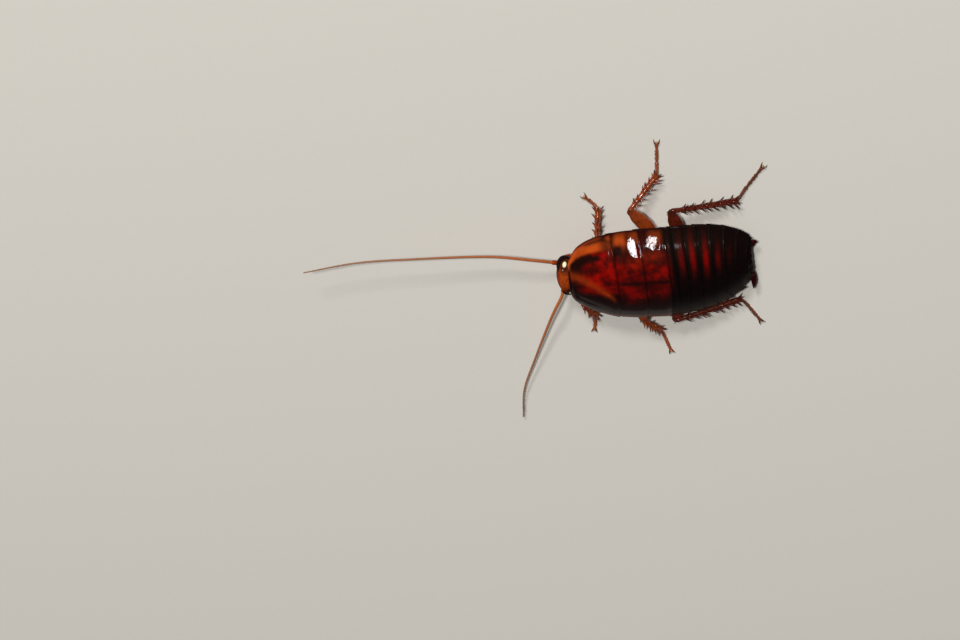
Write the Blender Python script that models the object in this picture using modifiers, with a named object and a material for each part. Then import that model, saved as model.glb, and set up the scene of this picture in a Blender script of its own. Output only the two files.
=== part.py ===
"""A life-size wood cockroach, modelled as a museum shows it.

The animal faces -X, its right side is +Y, and its feet stand on the floor at z = 0.
Every size below is in millimetres and is turned into metres as a mesh is made.
"""
import math
import random
from collections import namedtuple

import bmesh
import bpy
from mathutils import Matrix, Vector
from mathutils.bvhtree import BVHTree

MILLIMETRE = 0.001
GAP = 0.3                  # room that neighbouring parts keep between them

# The back, seen from above
WIDEST = 0.5               # where the back is widest
FRONT_REACH = 15.2         # from there forward to where the outline closes
REAR_REACH = 16.9          # and back to where it closes behind
HALF_WIDTH = 8.7
TAIL_BEND = 0.0042         # the tail turns a little to the right

# The back, seen from the side
RIDGE = 7.8                # height of the middle of the back
RIM = 4.36                 # height of its side rims
FRONT_FALL = 1.75          # how far the ridge falls to the front
REAR_FALL = 4.6            # and to the tail
RIM_FALL = 2.2             # how far the rims fall to the tail
RIM_DIP = 0.35             # the shield's rims droop this much beside the head
RIM_RISE = 0.95            # and rise this much again at its front edge
BACK_CURVE = 2.3           # 2 is a round arch, more is flatter on top
FALL_FROM_FRONT = -4.0     # where the ridge starts to fall to the front
FALL_FROM_REAR = 3.0       # and to the rear

# The plates of the back
SHIELD_FRONT = -14.4
SHIELD_REAR = -5.9         # the shield's rear edge on the middle line
SECOND_REAR = -1.2
THIRD_REAR = 2.95
PLATE = 0.6                # thickness of a plate
PLATE_STEP = 0.25          # how far a plate's rear edge stands up
EDGE_SWEEP = -0.8          # plate edges lie this much further forward at the rims
TAIL_SWEEP = 0.5           # and those near the tail this much further back
TAIL_PLATE_REAR = 15.9     # rear edge of the last broad plate of the belly

# The underside
CORE_SPREAD = 0.82         # share of the back's width that the trunk fills
NECK_SPREAD = 0.55         # and the share at its front end
CHEST_KEEL = 2.6           # height of the underside between the legs
BELLY_KEEL = 1.4           # and under the belly
BELLY_FROM = 7.0           # the underside starts to drop here
BELLY_FULL = 11.0          # and is at its lowest from here
CHEST_SIDE = 0.6           # height of the chest's upright sides
BELLY_RIM = 0.35           # thickness of the belly's rim
BELLY_RIM_INNER = 0.84     # share of the width where the rim ends and the soft sides begin
PLATE_NOTCH = 0.08         # length of the step down from a belly plate to the next

# The head
HEAD_CENTRE = Vector((-14.75, 0.1, 3.3))
HEAD_TILT = math.radians(24.0)
HEAD_TURN = math.radians(5.0)   # the head looks a little to the left
HEAD_DEPTH = 1.7
HEAD_SIDE = 3.5
HEAD_HEIGHT = 2.75
JAW_NARROWING = 0.45
NECK = -12.3               # where the head meets the trunk
HALF_FRONT_EDGE = 3.0      # half the width of the shield's straight front edge
SPOT_DIRECTION = Vector((0.325, 0.82, 0.472)).normalized()   # each eye bends round this spot
EYE_ROUND = 0.685          # angle from the spot to the middle of the eye's band, in radians
EYE_HALF_BAND = 0.285
EYE_TURN = math.radians(40.0)      # the middle of the band lies this far down from forward
EYE_HALF_TURN = math.radians(70.0)
EYE_SEAT = 0.35
EYE_BULGE = 0.42
EYE_DEPTH = 0.06           # thickness of the eye below its rim
SOCKET_DIRECTION = Vector((-0.8, 0.68, 0.0))

# The feelers
SCAPE_RADIUS = 0.42
SCAPE_LENGTH = 1.3
FEELER_BASE_RADIUS = 0.29
FEELER_TIP_RADIUS = 0.16

# The legs' spines and claws
SPINE_ROOT = 0.05          # how far from a limb's middle a spine's wide end is sunk
THIGH_SPINE_WIDTH = 0.5
SHIN_SPINE_WIDTH = 0.52
SHIN_SPINE_LENGTH = 1.75
SPINE_CLEAR_OF_FLOOR = 0.1
FOOT_WIDTH = 0.72
FOOT_HEIGHT = 0.62
CLAW_LENGTH = 1.2
CLAW_WIDTH = 0.4
CLAW_ROOT = Vector((-0.35, 0.1, 0.03))   # from the end of the foot: back, aside and up
CLAW_SPREAD = 0.55

Leg = namedtuple("Leg", "hip trochanter knee ankle toe femur_width tibia_width spines")

# Where each leg bends, from its hip to the end of its foot
RIGHT_LEGS = {
    "front": Leg((-12.0, 1.4, 1.95), (-11.3, 2.9, 1.5), (-9.3, 6.3, 3.1), (-8.6, 11.0, 0.75),
                 (-10.6, 13.2, 0.22), 1.9, 0.95, 4),
    "middle": Leg((-3.2, 2.2, 1.95), (1.2, 5.1, 1.5), (-3.0, 12.1, 3.9), (1.9, 16.7, 0.75),
                  (2.4, 22.4, 0.22), 2.6, 1.1, 6),
    "hind": Leg((1.0, 1.6, 1.95), (5.4, 3.2, 1.25), (3.8, 11.1, 3.35), (14.9, 10.8, 0.75),
                (19.5, 16.5, 0.22), 2.6, 1.15, 9),
}
LEFT_LEGS = {
    "front": Leg((-12.0, -1.4, 1.95), (-11.5, -2.9, 1.5), (-12.9, -6.6, 3.1), (-11.2, -9.9, 0.75),
                 (-11.9, -13.2, 0.22), 1.9, 0.95, 4),
    "middle": Leg((-3.2, -2.2, 1.95), (0.8, -4.7, 1.5), (-3.2, -9.9, 3.3), (-0.4, -13.6, 0.75),
                  (1.0, -18.6, 0.22), 2.6, 1.1, 6),
    "hind": Leg((1.0, -1.6, 1.95), (5.2, -3.2, 1.3), (2.6, -10.5, 3.4), (14.0, -8.6, 0.75),
                (17.0, -13.6, 0.22), 2.6, 1.15, 9),
}

COLOURS = {
    "shell": ((0.20, 0.018, 0.008), 0.22),
    "dark_shell": ((0.035, 0.006, 0.004), 0.22),
    "head": ((0.36, 0.075, 0.014), 0.25),
    "eye": ((0.008, 0.006, 0.006), 0.12),
    "leg": ((0.30, 0.055, 0.012), 0.3),
    "feeler": ((0.34, 0.10, 0.03), 0.5),
}


def clear_scene():
    for thing in list(bpy.data.objects):
        bpy.data.objects.remove(thing, do_unlink=True)


def make_material(name):
    colour, roughness = COLOURS[name]
    material = bpy.data.materials.new(name)
    material.use_nodes = True
    shader = material.node_tree.nodes["Principled BSDF"]
    shader.inputs["Base Color"].default_value = (*colour, 1.0)
    shader.inputs["Roughness"].default_value = roughness
    shader.inputs["Metallic"].default_value = 0.0
    return material


def smooth_step(value):
    value = min(1.0, max(0.0, value))
    return value * value * (3.0 - 2.0 * value)


def mix(a, b, share):
    return a + (b - a) * share


# The shape of the back

def half_width(x):
    if x < WIDEST:
        return HALF_WIDTH * max(0.0, 1.0 - ((WIDEST - x) / FRONT_REACH) ** 2.6) ** 0.353
    return HALF_WIDTH * max(0.0, 1.0 - ((x - WIDEST) / REAR_REACH) ** 3.1) ** 0.5


def middle_line(x):
    return TAIL_BEND * max(0.0, x - FALL_FROM_REAR) ** 2


def ridge_height(x):
    ahead = max(0.0, FALL_FROM_FRONT - x) / (FALL_FROM_FRONT - SHIELD_FRONT)
    behind = max(0.0, x - FALL_FROM_REAR) / (WIDEST + REAR_REACH - FALL_FROM_REAR)
    return RIDGE - FRONT_FALL * ahead ** 2 - REAR_FALL * behind ** 1.9


def rim_height(x):
    droop = RIM_DIP * smooth_step((SHIELD_REAR - x) / 4.0)
    rise = RIM_RISE * smooth_step((-12.6 - x) / 1.9)
    return RIM - droop + rise - RIM_FALL * (max(0.0, x) / 16.5) ** 1.5


def back_height(x, across):
    """Height of the back; across is -1 at the left rim and 1 at the right one."""
    rim = rim_height(x)
    return rim + (ridge_height(x) - rim) * (1.0 - abs(across) ** BACK_CURVE)


def height_at(x, y):
    """Height of the back over a place on the floor."""
    across = (y - middle_line(x)) / max(0.5, half_width(x))
    return back_height(x, max(-1.0, min(1.0, across)))


def under_back(x, across, depth):
    """Height of a surface that lies a given depth inside the back."""
    y = middle_line(x) + across * half_width(x)
    reach = 0.2
    lengthwise = (height_at(x + reach, y) - height_at(x - reach, y)) / (2 * reach)
    crosswise = (height_at(x, y + reach) - height_at(x, y - reach)) / (2 * reach)
    steepness = min(1.3, math.hypot(lengthwise, crosswise))
    return back_height(x, across) - depth * math.hypot(1.0, steepness)


def edge_sweep(x):
    """How far a plate's edge at x lies further back at the rims than in the middle."""
    return mix(EDGE_SWEEP, TAIL_SWEEP, smooth_step((x - THIRD_REAR) / (TAIL_PLATE_REAR - THIRD_REAR)))


def keel_height(x):
    return mix(CHEST_KEEL, BELLY_KEEL, smooth_step((x - BELLY_FROM) / (BELLY_FULL - BELLY_FROM)))


# Blender helpers

def finish_object(name, bm, material, collection):
    """Makes the named object from a mesh whose points are in millimetres."""
    bmesh.ops.scale(bm, vec=(MILLIMETRE,) * 3, verts=bm.verts)
    mesh = bpy.data.meshes.new(name)
    bm.to_mesh(mesh)
    bm.free()
    mesh.shade_smooth()
    mesh.set_sharp_from_angle(angle=math.radians(35.0))
    thing = bpy.data.objects.new(name, mesh)
    collection.objects.link(thing)
    if material:
        mesh.materials.append(material)
    return thing


def loft(rings):
    """A closed body through rings of points, each end closed round its middle."""
    bm = bmesh.new()
    rows = [[bm.verts.new(point) for point in ring] for ring in rings]
    count = len(rows[0])
    for row, following in zip(rows, rows[1:]):
        for i in range(count):
            k = (i + 1) % count
            bm.faces.new((row[i], row[k], following[k], following[i]))
    for row in (rows[0][::-1], rows[-1]):
        middle = bm.verts.new(sum((v.co for v in row), Vector()) / count)
        for i in range(count):
            bm.faces.new((row[i], row[(i + 1) % count], middle))
    if bm.calc_volume(signed=True) < 0:
        bmesh.ops.reverse_faces(bm, faces=bm.faces)
    return bm


def sections_along(points, widths, heights, sides, flat_up=Vector((0, 0, 1))):
    """Oval rings along a path; widths lie level, heights stand across them."""
    rings = []
    points = [Vector(p) for p in points]
    for i, point in enumerate(points):
        ahead = points[min(i + 1, len(points) - 1)] - points[max(i - 1, 0)]
        ahead.normalize()
        side = ahead.cross(flat_up).normalized()
        up = side.cross(ahead)
        ring = []
        for k in range(sides):
            angle = 2.0 * math.pi * (k + 0.5) / sides
            offset = side * math.cos(angle) * widths[i] / 2 + up * math.sin(angle) * heights[i] / 2
            ring.append(point + offset)
        rings.append(ring)
    return rings


def curve_through(points, count):
    """Evenly spaced points on a smooth curve through a few given ones."""
    points = [Vector(p) for p in points]
    first = points[0] * 2 - points[1]
    last = points[-1] * 2 - points[-2]
    padded = [first] + points + [last]
    fine = []
    for a, b, c, d in zip(padded, padded[1:], padded[2:], padded[3:]):
        for step in range(20):
            t = step / 20
            fine.append(0.5 * (2 * b + (c - a) * t + (2 * a - 5 * b + 4 * c - d) * t * t
                               + (3 * b - 3 * c + d - a) * t ** 3))
    fine.append(points[-1])
    lengths = [0.0]
    for p, q in zip(fine, fine[1:]):
        lengths.append(lengths[-1] + (q - p).length)
    result = []
    k = 0
    for i in range(count):
        target = lengths[-1] * i / (count - 1)
        while k < len(fine) - 2 and lengths[k + 1] < target:
            k += 1
        span = lengths[k + 1] - lengths[k]
        result.append(fine[k].lerp(fine[k + 1], (target - lengths[k]) / span if span else 0.0))
    return result


def surface_of(thing):
    """A search tree and the points of a finished object, in millimetres."""
    bpy.context.view_layer.update()
    finished = thing.evaluated_get(bpy.context.evaluated_depsgraph_get())
    mesh = finished.to_mesh()
    points = [vert.co / MILLIMETRE for vert in mesh.vertices]
    tree = BVHTree.FromPolygons(points, [tuple(face.vertices) for face in mesh.polygons])
    finished.to_mesh_clear()
    return tree, points


def clearance(bm, neighbours):
    """The least distance from a mesh to finished objects, 0 where they cross."""
    own = BVHTree.FromBMesh(bm)
    least = math.inf
    for neighbour in neighbours:
        tree, points = surface_of(neighbour)
        if own.overlap(tree):
            return 0.0
        least = min(least, min(tree.find_nearest(vert.co)[3] for vert in bm.verts))
        least = min(least, min(own.find_nearest(point)[3] for point in points))
    return least


def draw_clear(make, neighbours, step=0.05, most=50):
    """Draws a part out of its neighbours, step by step, until the usual gap is left."""
    for i in range(most):
        bm = make(i * step)
        if clearance(bm, neighbours) >= GAP:
            return bm
        bm.free()
    names = ", ".join(neighbour.name for neighbour in neighbours)
    raise ValueError(f"a part finds no place clear of {names}")


def spine(root, direction, length, width):
    """A five-sided pointed spine whose wide end is sunk at root."""
    bm = bmesh.new()
    turn = Vector((0, 0, 1)).rotation_difference(direction.normalized()).to_matrix().to_4x4()
    place = Matrix.Translation(root + direction.normalized() * length / 2) @ turn
    bmesh.ops.create_cone(bm, cap_ends=True, segments=5, radius1=width / 2, radius2=0.0,
                          depth=length, matrix=place)
    return bm


def fuse(name, body, additions, material, collection):
    """Joins closed meshes into one body and keeps its largest closed surface."""
    group = bpy.data.collections.new(name + "_additions")
    bpy.context.scene.collection.children.link(group)
    for i, addition in enumerate(additions):
        finish_object(f"{name}_addition_{i}", addition, None, group)
    thing = finish_object(name, body, material, collection)
    union = thing.modifiers.new("Union", "BOOLEAN")
    union.operation = "UNION"
    union.operand_type = "COLLECTION"
    union.collection = group
    union.solver = "MANIFOLD"
    bpy.context.view_layer.update()
    joined = bpy.data.meshes.new_from_object(thing.evaluated_get(bpy.context.evaluated_depsgraph_get()))
    thing.modifiers.remove(union)
    for addition in list(group.objects):
        bpy.data.objects.remove(addition, do_unlink=True)
    bpy.data.collections.remove(group)
    keep_largest_surface(joined)
    thing.data = joined
    joined.materials.clear()
    joined.materials.append(material)
    return thing


def keep_largest_surface(mesh):
    """Drops every closed surface of a mesh but the largest, and makes its faces triangles."""
    bm = bmesh.new()
    bm.from_mesh(mesh)
    bm.faces.ensure_lookup_table()
    groups = []
    seen = set()
    for face in bm.faces:
        if face in seen:
            continue
        stack, group = [face], {face}
        while stack:
            for edge in stack.pop().edges:
                for neighbour in edge.link_faces:
                    if neighbour not in group:
                        group.add(neighbour)
                        stack.append(neighbour)
        seen |= group
        groups.append(group)
    largest = max(groups, key=lambda group: sum(face.calc_area() for face in group))
    scraps = [face for face in bm.faces if face not in largest]
    bmesh.ops.delete(bm, geom=scraps, context="FACES")
    bmesh.ops.triangulate(bm, faces=bm.faces)
    bm.to_mesh(mesh)
    bm.free()


# The plates of the back

def make_plate(name, front, rear, material, collection):
    """One curved plate: a grid laid on the back and thickened inward."""
    lengthwise, crosswise = 10, 22
    bm = bmesh.new()
    bmesh.ops.create_grid(bm, x_segments=lengthwise, y_segments=crosswise, size=1.0)
    blunt = front == SHIELD_FRONT
    for vert in bm.verts:
        along = (vert.co.x + 1.0) / 2.0
        across = math.sin(vert.co.y * math.pi / 2.0)
        spacing = 1.0 - math.cos(along * math.pi / 2.0) if blunt else along
        front_x = front if blunt else front + edge_sweep(front) * across ** 2
        rear_x = rear + edge_sweep(rear) * across ** 2
        x = mix(front_x, rear_x, spacing)
        y = middle_line(x) + across * half_width(x)
        z = back_height(x, across) + PLATE_STEP * along ** 3
        vert.co = (x, y, z)
    thing = finish_object(name, bm, material, collection)
    shell = thing.modifiers.new("Thickness", "SOLIDIFY")
    shell.thickness = PLATE * MILLIMETRE
    shell.offset = -1.0
    return thing


def make_back_plates(material, collection):
    """The three plates of the back; returns the foremost, which covers the head."""
    shield = make_plate("pronotum", SHIELD_FRONT, SHIELD_REAR - GAP / 2, material, collection)
    make_plate("mesonotum", SHIELD_REAR + GAP / 2, SECOND_REAR - GAP / 2, material, collection)
    make_plate("metanotum", SECOND_REAR + GAP / 2, THIRD_REAR - GAP / 2, material, collection)
    return shield


def trunk_ring(x, spread):
    """One ring of the trunk under the plates, open side down to the keel."""
    ring = []
    steps = 12
    for i in range(steps + 1):
        across = spread * math.cos(math.pi * i / steps)
        swept = x + edge_sweep(x) * across ** 2
        ring.append((swept, across * half_width(swept), under_back(swept, across, PLATE + GAP)))
    edge = ring[0][2] - CHEST_SIDE
    steps = 8
    for i in range(1, steps):
        across = -spread * math.cos(math.pi * i / steps)
        z = mix(CHEST_KEEL, edge, abs(across / spread) ** 1.6)
        swept = x + edge_sweep(x) * across ** 2
        ring.append((swept, across * half_width(swept), z))
    return ring


def make_thorax(material, collection):
    rings = []
    steps = 12
    rear = THIRD_REAR - GAP     # both this end and the belly's are dished, so they come closer in the middle
    for i in range(steps + 1):
        x = mix(NECK, rear, i / steps)
        rings.append(trunk_ring(x, mix(NECK_SPREAD, CORE_SPREAD, smooth_step((x - NECK) / 7.0))))
    return finish_object("thorax", loft(rings), material, collection)


# The belly, with its overlapping plates raised in its own surface

def belly_ring(x, lift, narrow=1.0):
    """One ring of the belly; lift raises the whole ring outward."""
    ring = []

    def place(across, z):
        swept = x + edge_sweep(x) * (across * narrow) ** 2
        return (swept, middle_line(swept) + across * (half_width(swept) * narrow + lift * 0.7), z)

    crosswise = 16
    for i in range(crosswise + 1):
        across = math.cos(math.pi * i / crosswise)
        swept = x + edge_sweep(x) * (across * narrow) ** 2
        ring.append(place(across, back_height(swept, across * narrow) + lift))
    rim_under = back_height(x, narrow) - BELLY_RIM
    inner = BELLY_RIM_INNER
    inner_z = min(rim_under, under_back(x, inner * narrow, PLATE + GAP))
    keel = min(keel_height(x) - lift * 0.6, inner_z - BELLY_RIM)
    under = [(-0.96, rim_under), (-inner, inner_z)]
    for across in (-0.62, -0.36, -0.12, 0.12, 0.36, 0.62):
        under.append((across, mix(keel, inner_z, abs(across / inner) ** 1.7)))
    under += [(inner, inner_z), (0.96, rim_under)]
    return ring + [place(across, z) for across, z in under]


def plate_edges():
    """The rear edges of the belly's plates, closer together towards the tail."""
    lengths = (1.25, 1.75, 2.1, 2.1, 2.1, 1.95, 1.7)
    scale = (TAIL_PLATE_REAR - THIRD_REAR - GAP / 2) / sum(lengths)
    edges = [THIRD_REAR + GAP / 2]
    for length in lengths:
        edges.append(edges[-1] + length * scale)
    return edges


def make_abdomen(material, collection):
    rings = []
    edges = plate_edges()
    for front, rear in zip(edges, edges[1:]):
        first = front if front == edges[0] else front + PLATE_NOTCH
        rings.append(belly_ring(first, 0.0))
        rings.append(belly_ring(mix(front, rear, 0.5), PLATE_STEP * 0.5))
        rings.append(belly_ring(rear, PLATE_STEP))
    tail = edges[-1]
    for behind, lift, narrow in ((PLATE_NOTCH, -0.1, 0.62), (0.4, -0.15, 0.58), (0.6, -0.35, 0.5)):
        rings.append(belly_ring(tail + behind, lift, narrow))
    return finish_object("abdomen", loft(rings), material, collection)


# The head

def head_frame():
    turned = Matrix.Rotation(HEAD_TURN, 4, "Z") @ Matrix.Rotation(-HEAD_TILT, 4, "Y")
    return Matrix.Translation(HEAD_CENTRE) @ turned


def spot_axes(side):
    """The spot's direction, and the two directions across it: forward, and down the side."""
    centre = Vector((SPOT_DIRECTION.x, SPOT_DIRECTION.y * side, SPOT_DIRECTION.z))
    forward = (Vector((-1, 0, 0)) + centre * centre.x).normalized()
    return centre, forward, forward.cross(centre) * side


def eye_share(direction, side):
    """0 along the middle of an eye, 1 at its rim."""
    centre, forward, down = spot_axes(side)
    angle = direction.angle(centre)
    turn = math.atan2(direction.dot(down), direction.dot(forward))
    return math.hypot((angle - EYE_ROUND) / EYE_HALF_BAND, (turn - EYE_TURN) / EYE_HALF_TURN)


def head_point(direction, height=0.0, seated=True):
    """A point on or above the head in its own frame, for a direction from its middle."""
    d = direction.normalized()
    narrowing = 1.0 - JAW_NARROWING * smooth_step((0.15 - d.z) / 1.1)
    point = Vector((d.x * HEAD_DEPTH, d.y * HEAD_SIDE * narrowing, d.z * HEAD_HEIGHT))
    normal = Vector((d.x / HEAD_DEPTH, d.y / HEAD_SIDE, d.z / HEAD_HEIGHT)).normalized()
    if seated:
        share = min(eye_share(d, 1), eye_share(d, -1))
        height -= EYE_SEAT * smooth_step((1.9 - share) / 0.4)
    return point + normal * height


def head_ceiling(point, lowered):
    """How high the head may reach: free ahead of the shield, low under its front edge."""
    aside = max(0.0, abs(point.y) - HALF_FRONT_EDGE)
    ahead = max(0.0, SHIELD_FRONT + 0.3 * aside ** 1.5 - point.x)
    edge = ridge_height(SHIELD_FRONT) - PLATE - GAP - lowered
    return edge - 0.12 * point.y ** 2 + 2.2 * ahead


def make_head(shield, material, collection):
    frame = head_frame()
    softness = 0.3

    def body(lowered):
        bm = bmesh.new()
        bmesh.ops.create_uvsphere(bm, u_segments=40, v_segments=26, radius=1.0)
        for vert in bm.verts:
            point = frame @ head_point(vert.co)
            ceiling = head_ceiling(point, lowered)
            point.z = (point.z + ceiling - math.hypot(point.z - ceiling, softness)) / 2
            point.x = min(point.x, NECK - GAP)
            vert.co = point
        return bm

    return finish_object("head", draw_clear(body, [shield]), material, collection)


def make_eye(name, side, head, material, collection):
    """A kidney-shaped dome that bends round the spot beside it."""
    frame = head_frame()
    centre, forward, down = spot_axes(side)

    def body(lifted):
        bm = bmesh.new()
        bmesh.ops.create_uvsphere(bm, u_segments=20, v_segments=8, radius=1.0)
        for vert in bm.verts:
            a, b, c = vert.co
            angle = EYE_ROUND + EYE_HALF_BAND * b
            turn = EYE_TURN + EYE_HALF_TURN * a
            aside = forward * math.cos(turn) + down * math.sin(turn)
            direction = centre * math.cos(angle) + aside * math.sin(angle)
            height = (EYE_BULGE if c > 0 else EYE_DEPTH) * c + EYE_DEPTH + lifted
            vert.co = frame @ head_point(direction, height, seated=False)
        if bm.calc_volume(signed=True) < 0:
            bmesh.ops.reverse_faces(bm, faces=bm.faces)
        return bm

    return finish_object(name, draw_clear(body, [head]), material, collection)


def make_mouthparts(material, collection):
    """The lip and jaws: a short wedge under the head."""
    frame = head_frame()
    points = [frame @ Vector((0.0, 0.0, -HEAD_HEIGHT - GAP - 0.1 - step * 0.35)) for step in range(4)]
    rings = sections_along(points, (2.6, 2.5, 2.0, 1.1), (1.9, 1.8, 1.3, 0.6), 12, Vector((1, 0, 0)))
    floor_gap = 0.35
    for ring in rings:
        for point in ring:
            point.z = max(point.z, floor_gap)
    return finish_object("mouthparts", loft(rings), material, collection)


def make_palp(name, points, radius, material, collection):
    """A jointed palp: it swells towards the end of each of its segments."""
    per_segment = 3
    count = (len(points) - 1) * per_segment + 1
    path = curve_through(points, count)
    widths = [2 * radius * (0.78 + 0.22 * ((i % per_segment) / (per_segment - 1))) for i in range(count)]
    widths[-1] = radius * 0.9
    return finish_object(name, loft(sections_along(path, widths, widths, 8)), material, collection)


def make_palps(material, collection):
    for label, side in (("left", -1), ("right", 1)):
        middle = HEAD_CENTRE.y
        jaw = [(-12.9, 1.8, 1.0), (-13.7, 2.3, 0.75), (-14.7, 2.3, 0.65), (-15.7, 2.0, 0.75),
               (-16.3, 1.5, 1.05)]
        lip = [(-11.6, 0.9, 1.0), (-11.7, 1.6, 0.65), (-12.3, 1.9, 0.5)]
        make_palp(f"jaw_palp_{label}", [(x, middle + y * side, z) for x, y, z in jaw], 0.3,
                  material, collection)
        make_palp(f"lip_palp_{label}", [(x, middle + y * side, z) for x, y, z in lip], 0.26,
                  material, collection)


# The feelers

def feeler_routes():
    """Where each feeler runs, from the end of its first segment to its tip."""
    return {
        "right": [(-20.4, 4.0, 4.4), (-28.1, 5.5, 4.7), (-40.4, 6.4, 5.4), (-50.5, 6.6, 5.7),
                  (-59.9, 5.4, 5.7)],
        "left": [(-16.5, -4.4, 3.4), (-17.8, -6.6, 3.6), (-19.4, -9.9, 3.0), (-22.8, -17.5, 2.0),
                 (-25.6, -24.2, 1.3), (-26.6, -30.4, 0.8)],
    }


def make_feeler(label, side, neighbours, head_material, material, collection):
    """The stout first segment, and the long ringed rest of the feeler."""
    socket = Vector((SOCKET_DIRECTION.x, SOCKET_DIRECTION.y * side, SOCKET_DIRECTION.z))
    root = head_frame() @ head_point(socket)
    route = feeler_routes()[label]
    aim = (Vector(route[0]) - root).normalized()
    end = root + aim * (SCAPE_LENGTH + GAP)

    def body(drawn):
        path = [(root + aim * drawn).lerp(end, t) for t in (0.0, 0.2, 0.8, 1.0)]
        widths = [2 * SCAPE_RADIUS * share for share in (0.6, 0.9, 1.0, 0.7)]
        return loft(sections_along(path, widths, widths, 10))

    finish_object(f"scape_{label}", draw_clear(body, neighbours), head_material, collection)
    start = end + aim * GAP
    points = curve_through([start] + [Vector(p) for p in route], 34)
    curve = bpy.data.curves.new(f"antenna_{label}", "CURVE")
    curve.dimensions = "3D"
    curve.bevel_depth = FEELER_BASE_RADIUS * MILLIMETRE
    curve.bevel_resolution = 1
    curve.use_fill_caps = True
    spline = curve.splines.new("POLY")
    spline.points.add(len(points) - 1)
    for i, point in enumerate(points):
        spline.points[i].co = (*(point * MILLIMETRE), 1.0)
        spline.points[i].radius = mix(1.0, FEELER_TIP_RADIUS / FEELER_BASE_RADIUS, i / (len(points) - 1))
    curve.materials.append(material)
    feeler = bpy.data.objects.new(f"antenna_{label}", curve)
    collection.objects.link(feeler)


# The cerci, the two short feelers at the tail

def make_cercus(name, route, abdomen, material, collection):
    widths = [1.05 * math.sin(math.pi * (0.24 + 0.7 * i / 8)) + 0.1 for i in range(9)]

    def body(drawn):
        shift = (route[-1] - route[0]).normalized() * drawn
        path = curve_through([point + shift for point in route], len(widths))
        return loft(sections_along(path, widths, [width * 0.7 for width in widths], 8))

    return finish_object(name, draw_clear(body, [abdomen]), material, collection)


def make_cerci(abdomen, material, collection):
    """Each cercus curves out from beside the tail plate, in a way of its own."""
    routes = {
        "left": [(16.0, -2.3, 1.7), (16.5, -3.9, 2.0), (16.4, -5.8, 2.2)],
        "right": [(16.7, 3.1, 1.9), (17.1, 3.3, 2.0), (17.7, 3.2, 2.2)],
    }
    for label, route in routes.items():
        make_cercus(f"cercus_{label}", [Vector(point) for point in route], abdomen, material, collection)


# The legs

def make_coxa(name, leg, material, collection):
    start, end = Vector(leg.hip), Vector(leg.trochanter)
    shares = (0.0, 0.12, 0.45, 0.8, 0.95, 1.0)
    points = [start.lerp(end, t) for t in shares]
    widths = (1.3, 2.2, 2.6, 1.9, 1.3, 0.7)
    heights = (0.5, 0.9, 1.15, 1.1, 0.9, 0.5)
    return finish_object(name, loft(sections_along(points, widths, heights, 10)), material, collection)


def limb_spines(start, end, rows, per_row, length, width, lean, rng, reach=(0.12, 0.96)):
    """Spines in rows along a limb, each leaning to the limb's far end."""
    along = (end - start).normalized()
    side = along.cross(Vector((0, 0, 1))).normalized()
    up = side.cross(along)
    found = []
    for angle in rows:
        outward = side * math.cos(math.radians(angle)) + up * math.sin(math.radians(angle))
        for i in range(per_row):
            share = mix(reach[0], reach[1], (i + rng.uniform(0.3, 0.7)) / per_row)
            direction = outward + along * lean * rng.uniform(0.85, 1.2)
            root = start.lerp(end, share) + outward * SPINE_ROOT
            found.append(spine(root, direction, length * rng.uniform(0.85, 1.15), width))
    return found


def clear_spines(spines, neighbours):
    """The spines that stay off the floor and off the neighbours."""
    return [s for s in spines
            if min(v.co.z for v in s.verts) > SPINE_CLEAR_OF_FLOOR and clearance(s, neighbours) >= GAP]


def make_femur(name, leg, neighbours, material, collection, rng):
    far = Vector(leg.knee)

    def body(drawn):
        start = Vector(leg.trochanter)
        start = start + (far - start).normalized() * drawn
        shares = (0.0, 0.06, 0.16, 0.45, 0.7, 0.88, 0.96, 1.0)
        points = [start.lerp(far, t) for t in shares]
        widths = [leg.femur_width * share for share in (0.3, 0.52, 0.7, 1.0, 0.92, 0.6, 0.5, 0.28)]
        thickness = 0.57 * leg.femur_width ** 0.7
        heights = [thickness * share for share in (0.5, 0.9, 1.0, 1.1, 1.0, 0.85, 0.75, 0.4)]
        return loft(sections_along(points, widths, heights, 10))

    spines = limb_spines(Vector(leg.trochanter), far, (-35.0,), max(2, leg.spines // 3),
                         0.9 + leg.femur_width * 0.5, THIGH_SPINE_WIDTH, 0.7, rng, (0.45, 0.9))
    return fuse(name, draw_clear(body, neighbours), clear_spines(spines, neighbours), material, collection)


def make_tibia(name, leg, neighbours, material, collection, rng):
    far = Vector(leg.ankle)

    def body(drawn):
        start = Vector(leg.knee)
        start = start + (far - start).normalized() * drawn
        shares = (0.0, 0.1, 0.5, 0.93, 1.0)
        points = [start.lerp(far, t) for t in shares]
        widths = [leg.tibia_width * share for share in (0.55, 0.78, 0.85, 1.0, 0.75)]
        return loft(sections_along(points, widths, widths, 8))

    rows = (40.0, 140.0, -90.0) if leg.spines > 4 else (40.0, 140.0)
    spines = limb_spines(Vector(leg.knee), far, rows, leg.spines - 1, SHIN_SPINE_LENGTH, SHIN_SPINE_WIDTH,
                         0.9, rng, (0.2, 0.97))
    return fuse(name, draw_clear(body, neighbours), clear_spines(spines, neighbours), material, collection)


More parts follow.
